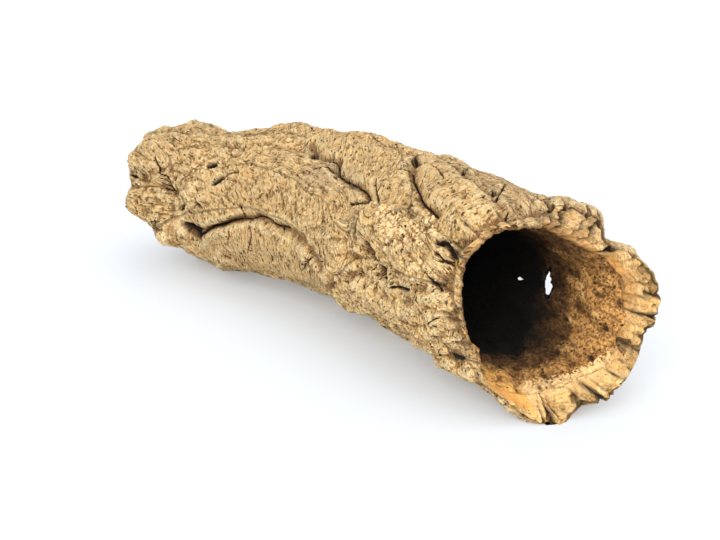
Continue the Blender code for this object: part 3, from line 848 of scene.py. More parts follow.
# %% Rows and columns of the sheet
SKIN_ROWS = 252
MOUTH_ROWS = 22
BORE_ROWS = 64
FAR_ROWS = 8
COLUMNS = 280
DENSE_ANGLE = 50.0
DENSITY = 0.2
BORE_CROWDING = 2.2
BLOCK_LENGTH = 15.0
BLOCK_WIDTH = 11.0
BLOCK_STEP = 3.5
THICK_WALL = 16.0
CRACK_BEND = 2.5
SKIN_EDGE_WANDER = 1.6
ROT_HEIGHT = 2.6
WORM_HOLE_DEPTH = 2.0


def column_angles():
    even = np.linspace(0, 2 * math.pi, COLUMNS + 1)
    centre = math.radians(DENSE_ANGLE)
    return even - DENSITY * (np.sin(even - centre) + math.sin(centre))


def skin_rows(angle, first, last):
    share = np.linspace(0, 1, SKIN_ROWS)[:, None]
    edge_wander = SKIN_EDGE_WANDER * on_bark(rough(3), 0 * angle + 700.0, angle, 9.0, 7.0)
    station = first + share * (last + edge_wander - first)
    around = np.broadcast_to(angle, station.shape)
    radius, masks = skin_forms(station, around)
    split = rim_crack_depth(station, around, last)
    radius = radius - split - end_rounding(station, around, first, last)
    masks["crack"] = np.clip(masks["crack"] + split / 4.0, 0, 1)
    return station, radius, masks


def bore_edge_wander(angle):
    """How far the bore's edge strays from its line, the same for the wall and the bore."""
    return EDGE_WANDER / 2 * on_bark(rough(3), 0 * angle + 900.0, angle, 9.0, 8.0)


def wall_rows(angle, skin_station, skin_radius, at_mouth):
    """The broken wall, from the skin to the bore: layered like the growth of the bark."""
    count = MOUTH_ROWS if at_mouth else FAR_ROWS
    share = (np.arange(1, count + 1) / (count + 1))[:, None]
    share = share if at_mouth else share[::-1]
    bore_edge = bore_edges(angle, at_mouth)
    bore = bore_radius(bore_edge, angle) + bore_edge_wander(angle)
    bore += at_mouth * edge_flare(angle, 0.0)
    radius = skin_radius + share * (bore - skin_radius)
    around = np.broadcast_to(angle, radius.shape)
    bulge = (RIM_BULGE if at_mouth else FAR_BULGE) * (skin_radius - bore) * np.sin(math.pi * share)
    layers = 0.5 * np.sin(radius / 0.9 + 3 * on_bark(rough(2), radius, around, 9.0, 14.0))
    relief = 3.8 * on_bark(rough(6), radius, around, 9.0, 9.0, 6.1) + layers
    relief += 1.6 * on_bark(rough(4), radius, around, 3.2, 3.2, 2.6)
    gaps, block = plates(radius, around, BLOCK_LENGTH, BLOCK_WIDTH, 5.5)
    gaps = gaps**2 * np.clip(1.5 - 1.7 * share, 0, 1)
    relief += BLOCK_STEP * (block - 0.5) - BLOCK_STEP * gaps
    relief *= np.clip((skin_radius - bore) / THICK_WALL, 0.25, 1.0)
    bent = around + CRACK_BEND * on_bark(rough(2), radius, around, 7.0, 20.0, 8.2) / UNROLL_RADIUS
    split = rim_crack_depth(skin_station, bent, skin_station) * np.clip(1.5 - share * 1.2, 0, 1)
    out = bulge + relief * np.sin(math.pi * share) ** 0.3 - split
    station = skin_station + share * (bore_edge - skin_station) + (out if at_mouth else -out)
    return station, radius, np.clip(split / 4.0 + 0.6 * gaps, 0, 1)


def bore_edges(angle, at_mouth):
    wander = EDGE_WANDER * on_bark(rough(4), 0 * angle + 500.0, angle, 9.0, 9.0)
    if not at_mouth:
        return far_station(angle) + wander
    return mouth_station(angle, MOUTH_BORE) - REAR_INSET * (1 - thin_lip(angle)) + wander


def bore_rows(angle):
    """Rows of the bore from the mouth back to the far end, crowded near the mouth."""
    first, last = bore_edges(angle, False), bore_edges(angle, True)
    share = (np.linspace(0, 1, BORE_ROWS) ** BORE_CROWDING)[:, None]
    station = last + share * (first - last)
    around = np.broadcast_to(angle, station.shape)
    rot = on_bark(rough(5), station, around, 15.0, 15.0, 2.5)
    hole = np.clip(1 - on_bark(nearest_two, station, around, 10.0, 10.0, 4.0)[..., 0] / 0.35, 0, 1)
    fade = smooth_step((last - station) / 4.0)
    edge = bore_edge_wander(angle) * (1 - fade)
    radius = bore_radius(station, around) + edge
    radius = radius + fade * (ROT_HEIGHT * rot + WORM_HOLE_DEPTH * smooth_step(hole))
    radius += edge_flare(around, last - station)
    return station, radius, smooth_step(hole)


# %% Placing the sheet
# Painted shade in the bore: on its ceiling, deeper in, and sooner on its floor near angle 188
CEILING_SHADE_MIDDLE = 345.0
CEILING_SHADE_HALF = 80.0
SHADED_MIDDLE = 188.0
SHADED_HALF = 28.0
SHADED_MORE = 0.35
# painted light on the bore's floor by the mouth
LIT_FLOOR_MIDDLE = 190.0
LIT_FLOOR_HALF = 62.0
LIT_FLOOR_DEPTH = 30.0
LIT_FLOOR_FADE = 12.0
# Where a piece broke off last: angle, half width, shares of the wall from and to, depth, strength
FRESH_BREAKS = ((151, 17, 0.3, 1.05, 34.0, 1.0), (288, 7, 0.62, 0.95, 3.0, 0.55))
FRESH_FADE = 3.0
BOX_MARGIN = 1e-5


def joined(skin, mouth, bore, far):
    """One array for the whole sheet, from the values, or the one value, of each of its four parts."""
    counts = (SKIN_ROWS, MOUTH_ROWS, BORE_ROWS, FAR_ROWS)
    parts = zip((skin, mouth, bore, far), counts)
    return np.concatenate([np.broadcast_to(part, (count, COLUMNS)) for part, count in parts])


def thick_enough(station, angle, radius, last):
    """The skin's radius, kept off the bore by the thinnest wall."""
    near_mouth = thin_lip(angle) * np.exp((station - last) / LIP_REACH)
    thinnest = THINNEST_WALL + (THINNEST_LIP - THINNEST_WALL) * near_mouth
    inward = np.clip(mouth_station(angle, MOUTH_BORE) - station, 0, None)
    radius = np.maximum(radius, bore_radius(station, angle) + thinnest)
    return np.maximum(radius, bore_radius(station, angle) + edge_flare(angle, inward) + THINNEST_LIP)


def side_share(around, middle_angle, half, steepness):
    """1 on the side of the tube that faces this angle, fading to 0 half a width away."""
    apart = np.abs(wrapped(around - math.radians(middle_angle))) / math.radians(half)
    return smooth_step(steepness * (1 - apart))


def wall_share(at_mouth):
    """0 at the skin and 1 at the bore, for each row of a broken wall."""
    count = MOUTH_ROWS if at_mouth else FAR_ROWS
    share = np.arange(1, count + 1) / (count + 1)
    return (share if at_mouth else share[::-1])[:, None]


def fresh_breaks(angle, inner, depth):
    fresh = np.zeros(angle.shape)
    for at_angle, half_width, from_share, to_share, to_depth, strength in FRESH_BREAKS:
        across = np.abs(wrapped(angle - math.radians(at_angle))) / math.radians(half_width)
        through = smooth_step((inner - from_share) * 8) * smooth_step((to_share - inner) * 8 + 0.5)
        here = smooth_step(6 * (1 - across)) * through * smooth_step((to_depth - depth) / FRESH_FADE)
        fresh = np.maximum(fresh, strength * here)
    return fresh


def zone_masks(station, around, radius, last):
    """Masks that tell skin, wall and bore apart, where shade and light are painted in the bore, and where the
    wall broke last.
    """
    thick = np.where(thin_lip(around[:1]) > 0.5, 0.0, 1.0)
    zone = joined(0.0, thick, 2.0, 1.0)
    in_bore = zone == 2
    depth = np.clip(last - station, 0, None) * in_bore
    # painted light on the bore's floor by the mouth
    lip = side_share(around, LIT_FLOOR_MIDDLE, LIT_FLOOR_HALF, 1.6) * smooth_step((LIT_FLOOR_DEPTH - depth) / LIT_FLOOR_FADE)
    shaded = np.degrees(wrapped(around - math.radians(SHADED_MIDDLE))) / SHADED_HALF
    inner = joined(0.0, wall_share(True), 1.0, wall_share(False))
    return {
        "zone": zone,
        "depth": depth,
        "lip": lip,
        # painted shade on the bore's ceiling
        "ceiling_shade": side_share(around, CEILING_SHADE_MIDDLE, CEILING_SHADE_HALF, 1.5) * in_bore,
        # depth of the bore's painted shade, reached sooner on its floor
        "gloom": depth * (1 + SHADED_MORE * np.exp(-(shaded**2))),
        "inner": inner,
        "fresh": fresh_breaks(around, inner, depth) * (zone > 0),
    }


def whole_sheet():
    """Station, angle, radius and masks of every row and column of the sheet."""
    angle = column_angles()[None, :-1]
    first, last = far_station(angle), mouth_station(angle, plain_radius(LENGTH))
    skin_s, skin_r, masks = skin_rows(angle, first, last)
    skin_r = thick_enough(skin_s, angle, skin_r, last)
    mouth_s, mouth_r, mouth_crack = wall_rows(angle, skin_s[-1], skin_r[-1], True)
    bore_s, bore_r, bore_hole = bore_rows(angle)
    far_s, far_r, far_crack = wall_rows(angle, skin_s[0], skin_r[0], False)
    station, radius = joined(skin_s, mouth_s, bore_s, far_s), joined(skin_r, mouth_r, bore_r, far_r)
    around = np.broadcast_to(angle, station.shape)
    full = {name: joined(mask, mask[-1], mask[-1], mask[0]) for name, mask in masks.items()}
    full["crack"] = joined(masks["crack"], mouth_crack, 0.0, far_crack)
    full["line_near"] = joined(masks["line_near"], 0.0, 0.0, 0.0)
    full["pore"] = joined(masks["pore"], 0.0, bore_hole, 0.0)
    walls = joined(False, True, False, True)
    full["grain_along"] = np.where(walls, around * UNROLL_RADIUS, full["grain_along"])
    full["grain_across"] = np.where(walls, radius, full["grain_across"])
    return station, around, radius, full | zone_masks(station, around, radius, last)


station, angle, radius, masks = whole_sheet()
points = placed(station, angle, radius)
points = np.clip(points, np.array(cad_low) + BOX_MARGIN, np.array(cad_high) - BOX_MARGIN)
points[..., 2] = np.maximum(points[..., 2], 0.0)
print("sheet of", points.shape[0], "rows by", points.shape[1], "columns")

# %% [markdown]
# ## Masks for the colours
#
# Hollows get dirt and painted shade, and edges are painted pale, as rubbed wear and as a painted
# highlight. How sunken a spot is comes from the sheet itself: its radius less the mean radius
# around it. One mask looks 3 mm around for cracks and ledges, and one looks 12 mm around for creases.

# %% Hollows and edges
FINE_REACH = 2
BROAD_REACH = 9


def proud_of_surroundings(radius, reach):
    """How far each point of skin and bore stands out; in the bore a smaller radius stands out."""
    smooth = bore_radius(station, angle) + edge_flare(angle, mouth_station(angle, MOUTH_BORE) - station)
    skin, bore = radius[:SKIN_ROWS], (smooth - radius)[SKIN_ROWS + MOUTH_ROWS : -FAR_ROWS]
    parts = [part - blurred(blurred(part, reach), reach) for part in (skin, bore)]
    walls = [np.zeros((count, COLUMNS)) for count in (MOUTH_ROWS, FAR_ROWS)]
    return np.concatenate([parts[0], walls[0], parts[1], walls[1]])


masks["relief"] = proud_of_surroundings(radius, FINE_REACH)
masks["hollow"] = proud_of_surroundings(radius, BROAD_REACH)
print("relief in mm:", [round(float(end), 1) for end in (masks["relief"].min(), masks["relief"].max())])

# %% Making the mesh
WELD = 1e-7
NEW_CORNER = 1e-6


def close_sheet(name, points, masks):
    """A bmesh grid whose corners are moved to the sheet's places and whose two seams are welded."""
    rows, columns = points.shape[:2]
    bm = bmesh.new()
    bmesh.ops.create_grid(bm, x_segments=rows, y_segments=columns, size=1.0)
    flat = np.array([vert.co[:2] for vert in bm.verts])
    row = np.rint((flat[:, 0] + 1) / 2 * rows).astype(int) % rows
    column = np.rint((flat[:, 1] + 1) / 2 * columns).astype(int) % columns
    for vert, place in zip(bm.verts, points[row, column].tolist()):
        vert.co = place
    for mask_name, mask in masks.items():
        layer = bm.verts.layers.float.new(mask_name)
        for vert, value in zip(bm.verts, mask[row, column].tolist()):
            vert[layer] = value
    bmesh.ops.remove_doubles(bm, verts=bm.verts, dist=WELD)
    bmesh.ops.recalc_face_normals(bm, faces=bm.faces)
    mesh = bpy.data.meshes.new(name)
    bm.to_mesh(mesh)
    bm.free()
    piece = bpy.data.objects.new(name, mesh)
    bpy.context.scene.collection.objects.link(piece)
    return piece


bark = close_sheet("cork_bark", points, masks)
print("bark has", len(bark.data.vertices), "corners and", len(bark.data.polygons), "faces")

# %% [markdown]
# ## Two holes through the wall
#
# Rot left a slit and a pinhole in the rear wall. Both are bright in the photograph, because light
# comes straight through them. White paint would shine from every side, so they are cut: two flat
# cones, laid along the line of sight through the mouth, are taken out by one Boolean. Its manifold
# solver is the one that keeps this fine, folded sheet facing outward; the exact one turns it inside
# out. The script then looks along each hole, and measures the volume that the faces enclose. The
# corners that the cut adds take their masks from the bore beside them.

# %% The slit and the pinhole
SLIT_STATION = 364.0
SLIT_ANGLE = 260.0
SLIT_HEADING = 122.4
SLIT_FALL = 20.9
SLIT_WIDTH = 4.6
SLIT_HEIGHT = 18.0
SLIT_INSIDE = 14.0
SLIT_OUTSIDE = 62.0
SLIT_SIDES = 36
SLIT_RAGGEDNESS = 1.2
LOOK_FROM = 10.0
LITRE = 0.001
PINHOLE_STATION = 336.0
PINHOLE_ANGLE = 252.5
PINHOLE_WIDTH = 3.4
PINHOLE_HEIGHT = 2.6
HOLES = (
    (SLIT_STATION, SLIT_ANGLE, SLIT_WIDTH, SLIT_HEIGHT),
    (PINHOLE_STATION, PINHOLE_ANGLE, PINHOLE_WIDTH, PINHOLE_HEIGHT),
)


def fray(verts):
    """Narrows a hole towards its top and frays its sides; x is its width and y its height, up to 1."""
    for vert in verts:
        share = 1.0 - 0.5 * vert.co.y + SLIT_RAGGEDNESS * noise.noise((5.0 * vert.co.y, 2 * vert.co.x, 0.3))
        vert.co.x = share * vert.co.x + 0.25 * noise.noise((4.0 * vert.co.y, 1.7, 0.9))


def hole_turn():
    """Turns the Z axis to the line of sight through the mouth."""
    return Euler((math.radians(90 + SLIT_FALL), 0, math.radians(SLIT_HEADING + 90))).to_matrix()


def hole_place(at_station, at_angle):
    """Where a hole leaves the bore."""
    spot, around = np.array(at_station), np.array(math.radians(at_angle))
    return Vector(placed(spot, around, bore_radius(spot, around)))


def hole_cutter():
    """Flat tapering tubes, turned to the line of sight through the mouth."""
    length = SLIT_INSIDE + SLIT_OUTSIDE
    bm = bmesh.new()
    for at_station, at_angle, width, height in HOLES:
        cone = bmesh.ops.create_cone(
            bm, cap_ends=True, segments=SLIT_SIDES, radius1=2 / 3, radius2=1 / 3, depth=length
        )["verts"]
        fray(cone)
        bmesh.ops.translate(bm, verts=cone, vec=(0, 0, length / 2 - SLIT_INSIDE))
        bmesh.ops.scale(bm, verts=cone, vec=(width * MM, height * MM, MM))
        bmesh.ops.rotate(bm, verts=cone, matrix=hole_turn())
        bmesh.ops.translate(bm, verts=cone, vec=hole_place(at_station, at_angle))
    mesh = bpy.data.meshes.new("hole_cutter")
    bm.to_mesh(mesh)
    bm.free()
    cutter = bpy.data.objects.new("hole_cutter", mesh)
    bpy.context.scene.collection.objects.link(cutter)
    return cutter


def carry_masks(mesh):
    """Gives each corner that the cut added the masks of the nearest corner of the bore."""
    sheet = points.reshape(-1, 3)
    known, bore = kdtree.KDTree(len(sheet)), kdtree.KDTree(len(sheet))
    for index, (place, zone) in enumerate(zip(sheet.tolist(), masks["zone"].ravel())):
        known.insert(place, index)
        if zone == 2:
            bore.insert(place, index)
    known.balance()
    bore.balance()
    added = [vert for vert in mesh.vertices if known.find(vert.co)[2] > NEW_CORNER]
    for vert in added:
        index = bore.find(vert.co)[1]
        for name, mask in masks.items():
            mesh.attributes[name].data[vert.index].value = float(mask.flat[index])
    return len(added)


def open_holes(piece):
    """How many of the holes let a ray through, from the bore to the outside."""
    way = hole_turn() @ Vector((0, 0, 1))
    starts = [hole_place(hole[0], hole[1]) - LOOK_FROM * MM * way for hole in HOLES]
    reach = (LOOK_FROM + SLIT_OUTSIDE) * MM
    return sum(not piece.ray_cast(start, way, distance=reach)[0] for start in starts)


def litres(mesh):
    """The volume inside the faces: under zero if they face inward."""
    bm = bmesh.new()
    bm.from_mesh(mesh)
    volume = bm.calc_volume(signed=True) / LITRE
    bm.free()
    return volume


def cut_holes(piece, cutter):
    cut = piece.modifiers.new("holes", "BOOLEAN")
    cut.operation, cut.solver, cut.object = "DIFFERENCE", "MANIFOLD", cutter
    shown = piece.evaluated_get(bpy.context.evaluated_depsgraph_get())
    mesh = bpy.data.meshes.new_from_object(shown)
    mesh.materials.clear()
    piece.modifiers.clear()
    piece.data = mesh
    bpy.data.objects.remove(cutter)


cut_holes(bark, hole_cutter())
cut_bark = bark.evaluated_get(bpy.context.evaluated_depsgraph_get())
print("open holes:", open_holes(cut_bark), "of", len(HOLES), "and litres of bark:", round(litres(bark.data), 3))
print("the slit and the pinhole added", carry_masks(bark.data), "corners")
print("bark with its two holes has", sum(len(f.vertices) - 2 for f in bark.data.polygons), "triangles")

# %% [markdown]
# ## Finishes
#
# Cork has three faces. The skin is sun bleached tan, streaked along the grain, with black pores.
# The broken wall is fresher, orange where a piece came off last. The bore is rotten wood, brown,
# with painted shade that turns it nearly black further in and on its ceiling, and painted light
# that makes its floor pale by the mouth. All three share a few effects: fibres, pinholes, stains,
# hairline cracks, thin flakes with a line of painted shade at their foot, and crumbs. Each effect is
# a node group, and each finish lays its own coats over a base colour. A picture wrapped over the
# bark would stretch on its rolls and carry shadows of its own; noises do neither. All sizes are in
# millimetres, read from the object's own coordinates, and the grain is read from the masks.

# %% Helpers for nodes
def rgb(red, green, blue):
    """A colour given in steps from 0 to 255, as the shader wants it."""
    values = (value / 255 for value in (red, green, blue))
    return (*(v / 12.92 if v <= 0.04045 else ((v + 0.055) / 1.055) ** 2.4 for v in values), 1.0)


def put(tree, kind, sockets=None, **settings):
    """Adds a node, sets it up, and links or fills its sockets."""
    node = tree.nodes.new("ShaderNode" + kind)
    for name, value in settings.items():
        setattr(node, name, value)
    for name, value in (sockets or {}).items():
        if isinstance(value, bpy.types.NodeSocket):
            tree.links.new(value, node.inputs[name])
        else:
            node.inputs[name].default_value = value
    return node


def calc(tree, operation, *values):
    return put(tree, "Math", dict(enumerate(values)), operation=operation).outputs[0]


def between(tree, value, low, high):
    """0 below the low value, 1 above the high one, and smooth between them."""
    sockets = {"Value": value, "From Min": low, "From Max": high}
    return put(tree, "MapRange", sockets, interpolation_type="SMOOTHSTEP").outputs["Result"]


def coat(tree, base, *coats):
    """Lays coats over a base colour: each is a mask, how strong it is, and its colour."""
    for mask, strength, colour in coats:
        mix = put(tree, "Mix", data_type="RGBA", clamp_factor=True)
        tree.links.new(calc(tree, "MULTIPLY", mask, strength), mix.inputs[0])
        for index, value in ((6, base), (7, colour)):
            if isinstance(value, bpy.types.NodeSocket):
                tree.links.new(value, mix.inputs[index])
            else:
                mix.inputs[index].default_value = value
        base = mix.outputs[2]
    return base


def new_group(name, inputs, *outputs):
    tree = bpy.data.node_groups.new(name, "ShaderNodeTree")
    for label, value in inputs.items():
        kind = "NodeSocketVector" if value is None else "NodeSocketFloat"
        socket = tree.interface.new_socket(label, in_out="INPUT", socket_type=kind)
        if value is not None:
            socket.default_value = value
    for label in outputs:
        tree.interface.new_socket(label, in_out="OUTPUT", socket_type="NodeSocketFloat")
    return tree, tree.nodes.new("NodeGroupInput").outputs, tree.nodes.new("NodeGroupOutput").inputs


def use_both(tree, group, **sockets):
    """Places a group in a material and returns its outputs; a name's underscores stand for spaces."""
    node = tree.nodes.new("ShaderNodeGroup")
    node.node_tree = group
    for name, value in sockets.items():
        socket = node.inputs[name.replace("_", " ")]
        if isinstance(value, bpy.types.NodeSocket):
            tree.links.new(value, socket)
        else:
            socket.default_value = value
    return list(node.outputs)


def use(tree, group, **sockets):
    return use_both(tree, group, **sockets)[0]


def mask_of(tree, name):
    return put(tree, "Attribute", attribute_name=name).outputs["Fac"]


# %% Shared effects
def stains_group():
    """Soft patches of a given size; they cover more as Share goes up."""
    tree, given, result = new_group(
        "stains", {"Place": None, "Size": 20.0, "Share": 0.5, "Softness": 0.1, "Detail": 5.0}, "Mask"
    )
    scale = calc(tree, "DIVIDE", 1.0, given["Size"])
    sockets = {"Vector": given["Place"], "Scale": scale, "Detail": given["Detail"], "Roughness": 0.62}
    patches = put(tree, "TexNoise", sockets).outputs["Fac"]
    middle_value = calc(tree, "SUBTRACT", 1.0, given["Share"])
    low = calc(tree, "SUBTRACT", middle_value, given["Softness"])
    high = calc(tree, "ADD", middle_value, given["Softness"])
    tree.links.new(between(tree, patches, low, high), result["Mask"])
    return tree


def pinholes_group():
    """Round dark dots, one in some of the cells of a random lattice."""
    tree, given, result = new_group(
        "pinholes", {"Place": None, "Spacing": 6.0, "Size": 0.5, "Share": 0.5}, "Mask"
    )
    warp = put(tree, "TexNoise", {"Vector": given["Place"], "Scale": 1.1, "Detail": 1.0}).outputs["Color"]
    shift = put(tree, "VectorMath", {0: warp, "Scale": 1.0}, operation="SCALE").outputs["Vector"]
    spot = put(tree, "VectorMath", {0: given["Place"], 1: shift}, operation="ADD").outputs["Vector"]
    scale = calc(tree, "DIVIDE", 1.0, given["Spacing"])
    cells = put(tree, "TexVoronoi", {"Vector": spot, "Scale": scale})
    width = calc(tree, "DIVIDE", given["Size"], given["Spacing"])
    number = put(tree, "SeparateColor", {"Color": cells.outputs["Color"]}).outputs["Red"]
    size = calc(tree, "MULTIPLY", width, calc(tree, "ADD", 0.4, number))
    inside = between(tree, cells.outputs["Distance"], size, calc(tree, "MULTIPLY", size, 0.5))
    chosen = calc(tree, "LESS_THAN", number, given["Share"])
    tree.links.new(calc(tree, "MULTIPLY", inside, chosen), result["Mask"])
    return tree


def fibres_group():
    """Fine streaks that run with the grain, broken here and there."""
    tree, given, result = new_group(
        "fibres", {"Along": 0.0, "Across": 0.0, "Length": 12.0, "Width": 1.0, "Sharpness": 0.12}, "Lines"
    )
    along = calc(tree, "DIVIDE", given["Along"], given["Length"])
    across = calc(tree, "DIVIDE", given["Across"], given["Width"])
    spot = put(tree, "CombineXYZ", {"X": along, "Y": across}).outputs["Vector"]
    streaks = put(
        tree, "TexNoise", {"Vector": spot, "Scale": 1.0, "Detail": 4.0, "Roughness": 0.65, "Distortion": 0.3}
    ).outputs["Fac"]
    low = calc(tree, "SUBTRACT", 0.5, given["Sharpness"])
    high = calc(tree, "ADD", 0.5, given["Sharpness"])
    tree.links.new(between(tree, streaks, low, high), result["Lines"])
    return tree


def threads_group():
    """Thin lines that run with the grain: the level lines of a stretched noise, with gaps."""
    tree, given, result = new_group(
        "threads",
        {"Along": 0.0, "Across": 0.0, "Length": 12.0, "Width": 1.0, "Thickness": 0.03, "Shift": 0.0},
        "Lines",
    )
    along = calc(tree, "ADD", calc(tree, "DIVIDE", given["Along"], given["Length"]), given["Shift"])
    across = calc(tree, "DIVIDE", given["Across"], given["Width"])
    spot = put(tree, "CombineXYZ", {"X": along, "Y": across}).outputs["Vector"]
    sockets = {"Vector": spot, "Scale": 1.0, "Detail": 2.0, "Roughness": 0.6}
    level = put(tree, "TexNoise", sockets).outputs["Fac"]
    gap = calc(tree, "ABSOLUTE", calc(tree, "SUBTRACT", level, 0.5))
    line = between(tree, gap, given["Thickness"], calc(tree, "MULTIPLY", given["Thickness"], 0.4))
    breaks = put(tree, "TexNoise", {"Vector": spot, "Scale": 0.9, "Detail": 3.0}).outputs["Fac"]
    tree.links.new(calc(tree, "MULTIPLY", line, between(tree, breaks, 0.46, 0.54)), result["Lines"])
    return tree


def ledges_group():
    """Thin flakes lying on each other: a height cut into steps, and the line of painted shade at the foot of
    each step.
    """
    inputs = {"Place": None, "Size": 9.0, "Steps": 12.0, "Edge": 0.2}
    tree, given, result = new_group("ledges", inputs, "Height", "Foot")
    scale = calc(tree, "DIVIDE", 1.0, given["Size"])
    sockets = {"Vector": given["Place"], "Scale": scale, "Detail": 4.0, "Roughness": 0.6}
    level = calc(tree, "MULTIPLY", put(tree, "TexNoise", sockets).outputs["Fac"], given["Steps"])
    share = calc(tree, "FRACT", level)
    start = calc(tree, "SUBTRACT", 1.0, given["Edge"])
    rise = between(tree, share, start, 1.0)
    tree.links.new(calc(tree, "ADD", calc(tree, "FLOOR", level), rise), result["Height"])
    foot = between(tree, share, calc(tree, "SUBTRACT", start, given["Edge"]), start)
    tree.links.new(calc(tree, "SUBTRACT", foot, rise), result["Foot"])
    return tree


def hairlines_group():
    """A net of fine cracks, of which only stretches show."""
    tree, given, result = new_group("hairlines", {"Place": None, "Spacing": 12.0, "Width": 0.3}, "Mask")
    warp = put(tree, "TexNoise", {"Vector": given["Place"], "Scale": 0.25, "Detail": 4.0}).outputs["Color"]
    shift = put(tree, "VectorMath", {0: warp, "Scale": 9.0}, operation="SCALE").outputs["Vector"]
    spot = put(tree, "VectorMath", {0: given["Place"], 1: shift}, operation="ADD").outputs["Vector"]
    scale = calc(tree, "DIVIDE", 1.0, given["Spacing"])
    edges = put(tree, "TexVoronoi", {"Vector": spot, "Scale": scale}, feature="DISTANCE_TO_EDGE")
    width = calc(tree, "DIVIDE", given["Width"], given["Spacing"])
    line = between(tree, edges.outputs["Distance"], width, 0.0)
    gaps = put(tree, "TexNoise", {"Vector": given["Place"], "Scale": 0.11, "Detail": 2.0}).outputs["Fac"]
    shown = between(tree, gaps, 0.5, 0.6)
    tree.links.new(calc(tree, "MULTIPLY", line, shown), result["Mask"])
    return tree


def crisp_lines_group():
    """A thin line where a signed distance passes zero, a little jagged, and thinner where Width falls."""
    inputs = {"Place": None, "Side": 4.0, "Width": 1.0, "Jag": 0.5}
    tree, given, result = new_group("crisp_lines", inputs, "Mask")
    jag = put(tree, "TexNoise", {"Vector": given["Place"], "Scale": 0.45, "Detail": 3.0}).outputs["Fac"]
    shift = calc(tree, "MULTIPLY", calc(tree, "SUBTRACT", jag, 0.5), given["Jag"])
    gap = calc(tree, "ABSOLUTE", calc(tree, "ADD", given["Side"], shift))
    inner = calc(tree, "MULTIPLY", given["Width"], 0.55)
    tree.links.new(between(tree, gap, given["Width"], inner), result["Mask"])
    return tree


def crumbs_group():
    """Grainy height, from 0 to 1, like the crumbly face of old cork."""
    tree, given, result = new_group("crumbs", {"Place": None, "Size": 1.5}, "Height")
    scale = calc(tree, "DIVIDE", 1.0, given["Size"])
    cells = put(tree, "TexVoronoi", {"Vector": given["Place"], "Scale": scale}, feature="SMOOTH_F1")
    noise_sockets = {"Vector": given["Place"], "Scale": scale, "Detail": 5.0, "Roughness": 0.7}
    grit = put(tree, "TexNoise", noise_sockets).outputs["Fac"]
    rounded = calc(tree, "SUBTRACT", 1.0, cells.outputs["Distance"])
    height = calc(tree, "MULTIPLY_ADD", rounded, 0.5, calc(tree, "MULTIPLY", grit, 0.5))
    tree.links.new(height, result["Height"])
    return tree


STAINS, PINHOLES, FIBRES, THREADS = stains_group(), pinholes_group(), fibres_group(), threads_group()
LEDGES = ledges_group()
HAIRLINES, CRISP_LINES, CRUMBS = hairlines_group(), crisp_lines_group(), crumbs_group()
print("node groups:", [group.name for group in bpy.data.node_groups])

# %% Colours
CRUMB_PALE = rgb(224, 192, 146)
PALE = rgb(253, 225, 170)
LIGHT_TAN = rgb(250, 208, 145)
TAN = rgb(252, 199, 121)
GOLD = rgb(224, 160, 82)
ORANGE = rgb(246, 182, 98)
RUST = rgb(140, 82, 34)
GREY_TAN = rgb(184, 154, 118)
# a dark brown for dirt and grain lines, and for painted shade
DIRT_AND_SHADE = rgb(114, 73, 36)
CRACK_BROWN = rgb(34, 20, 10)
# the bore's pale wood, also used for a painted highlight
ROT_PALE_AND_HIGHLIGHT = rgb(232, 186, 120)
ROT_GOLD = rgb(202, 146, 78)
ROT_BROWN = rgb(126, 80, 36)
# the rot's dark browns, also used for painted shade in the bore
ROT_DARK_AND_SHADE = rgb(50, 28, 12)
ROT_BLACK_AND_SHADE = rgb(8, 5, 2)


def new_finish(name):
    """A material, its shader, and its place socket in millimetres."""
    material = bpy.data.materials.new(name)
    material.use_nodes = True
    tree = material.node_tree
    shader = tree.nodes["Principled BSDF"]
    shader.inputs["Specular IOR Level"].default_value = 0.25
    spot = put(tree, "TexCoord").outputs["Object"]
    place = put(tree, "Mapping", {"Vector": spot, "Scale": (1 / MM, 1 / MM, 1 / MM)}).outputs["Vector"]
    return material, tree, shader, place


def raise_bumps(tree, shader, *heights):
    """Adds up heights in millimetres and feeds them to the shader as bumps."""
    total = None
    for mask, height in heights:
        part = calc(tree, "MULTIPLY", mask, height)
        total = part if total is None else calc(tree, "ADD", total, part)
    normal = put(tree, "Bump", {"Height": total, "Distance": MM, "Strength": 1.0}).outputs["Normal"]
    tree.links.new(normal, shader.inputs["Normal"])


# %% [markdown]
# ## Skin
#
# Sun and handling bleach old bark, and dirt stays in its pores. Its raised edges are painted pale,
# as wear and as a painted highlight, and painted shade lies at the foot of its flakes, in its dips
# and in its broad recesses. So the coats go on in that order: soft patches of tan and gold first,
# then streaks along the grain, then dirt and painted shade, and the black pores and cracks last.
# The cracks are drawn from a signed distance, which keeps their edges crisp between the sheet's corners.

# %% Skin
SKIN_STAINS = {
    "broad": {"Size": 60.0, "Share": 0.5, "Softness": 0.12},
    "clusters": {"Size": 26.0, "Share": 0.5, "Softness": 0.08},
    "warm": {"Size": 16.0, "Share": 0.42, "Softness": 0.06},
    "bleached": {"Size": 7.0, "Share": 0.5, "Softness": 0.12},
    "dirt": {"Size": 5.0, "Share": 0.38, "Softness": 0.08},
    "hollows": {"Size": 3.2, "Share": 0.36, "Softness": 0.02},
    "pale_bits": {"Size": 2.4, "Share": 0.45, "Softness": 0.02},
    "grime": {"Size": 2.2, "Share": 0.4, "Softness": 0.03, "Detail": 3.0},
    "dark_bits": {"Size": 1.7, "Share": 0.42, "Softness": 0.03},
    "flakes": {"Size": 1.2, "Share": 0.44, "Softness": 0.04, "Detail": 2.0},
}


def stretched(tree, share):
    """Places on the bark, drawn out along the grain."""
    along = calc(tree, "MULTIPLY", mask_of(tree, "grain_along"), share)
    return put(tree, "CombineXYZ", {"X": along, "Y": mask_of(tree, "grain_across")}).outputs["Vector"]


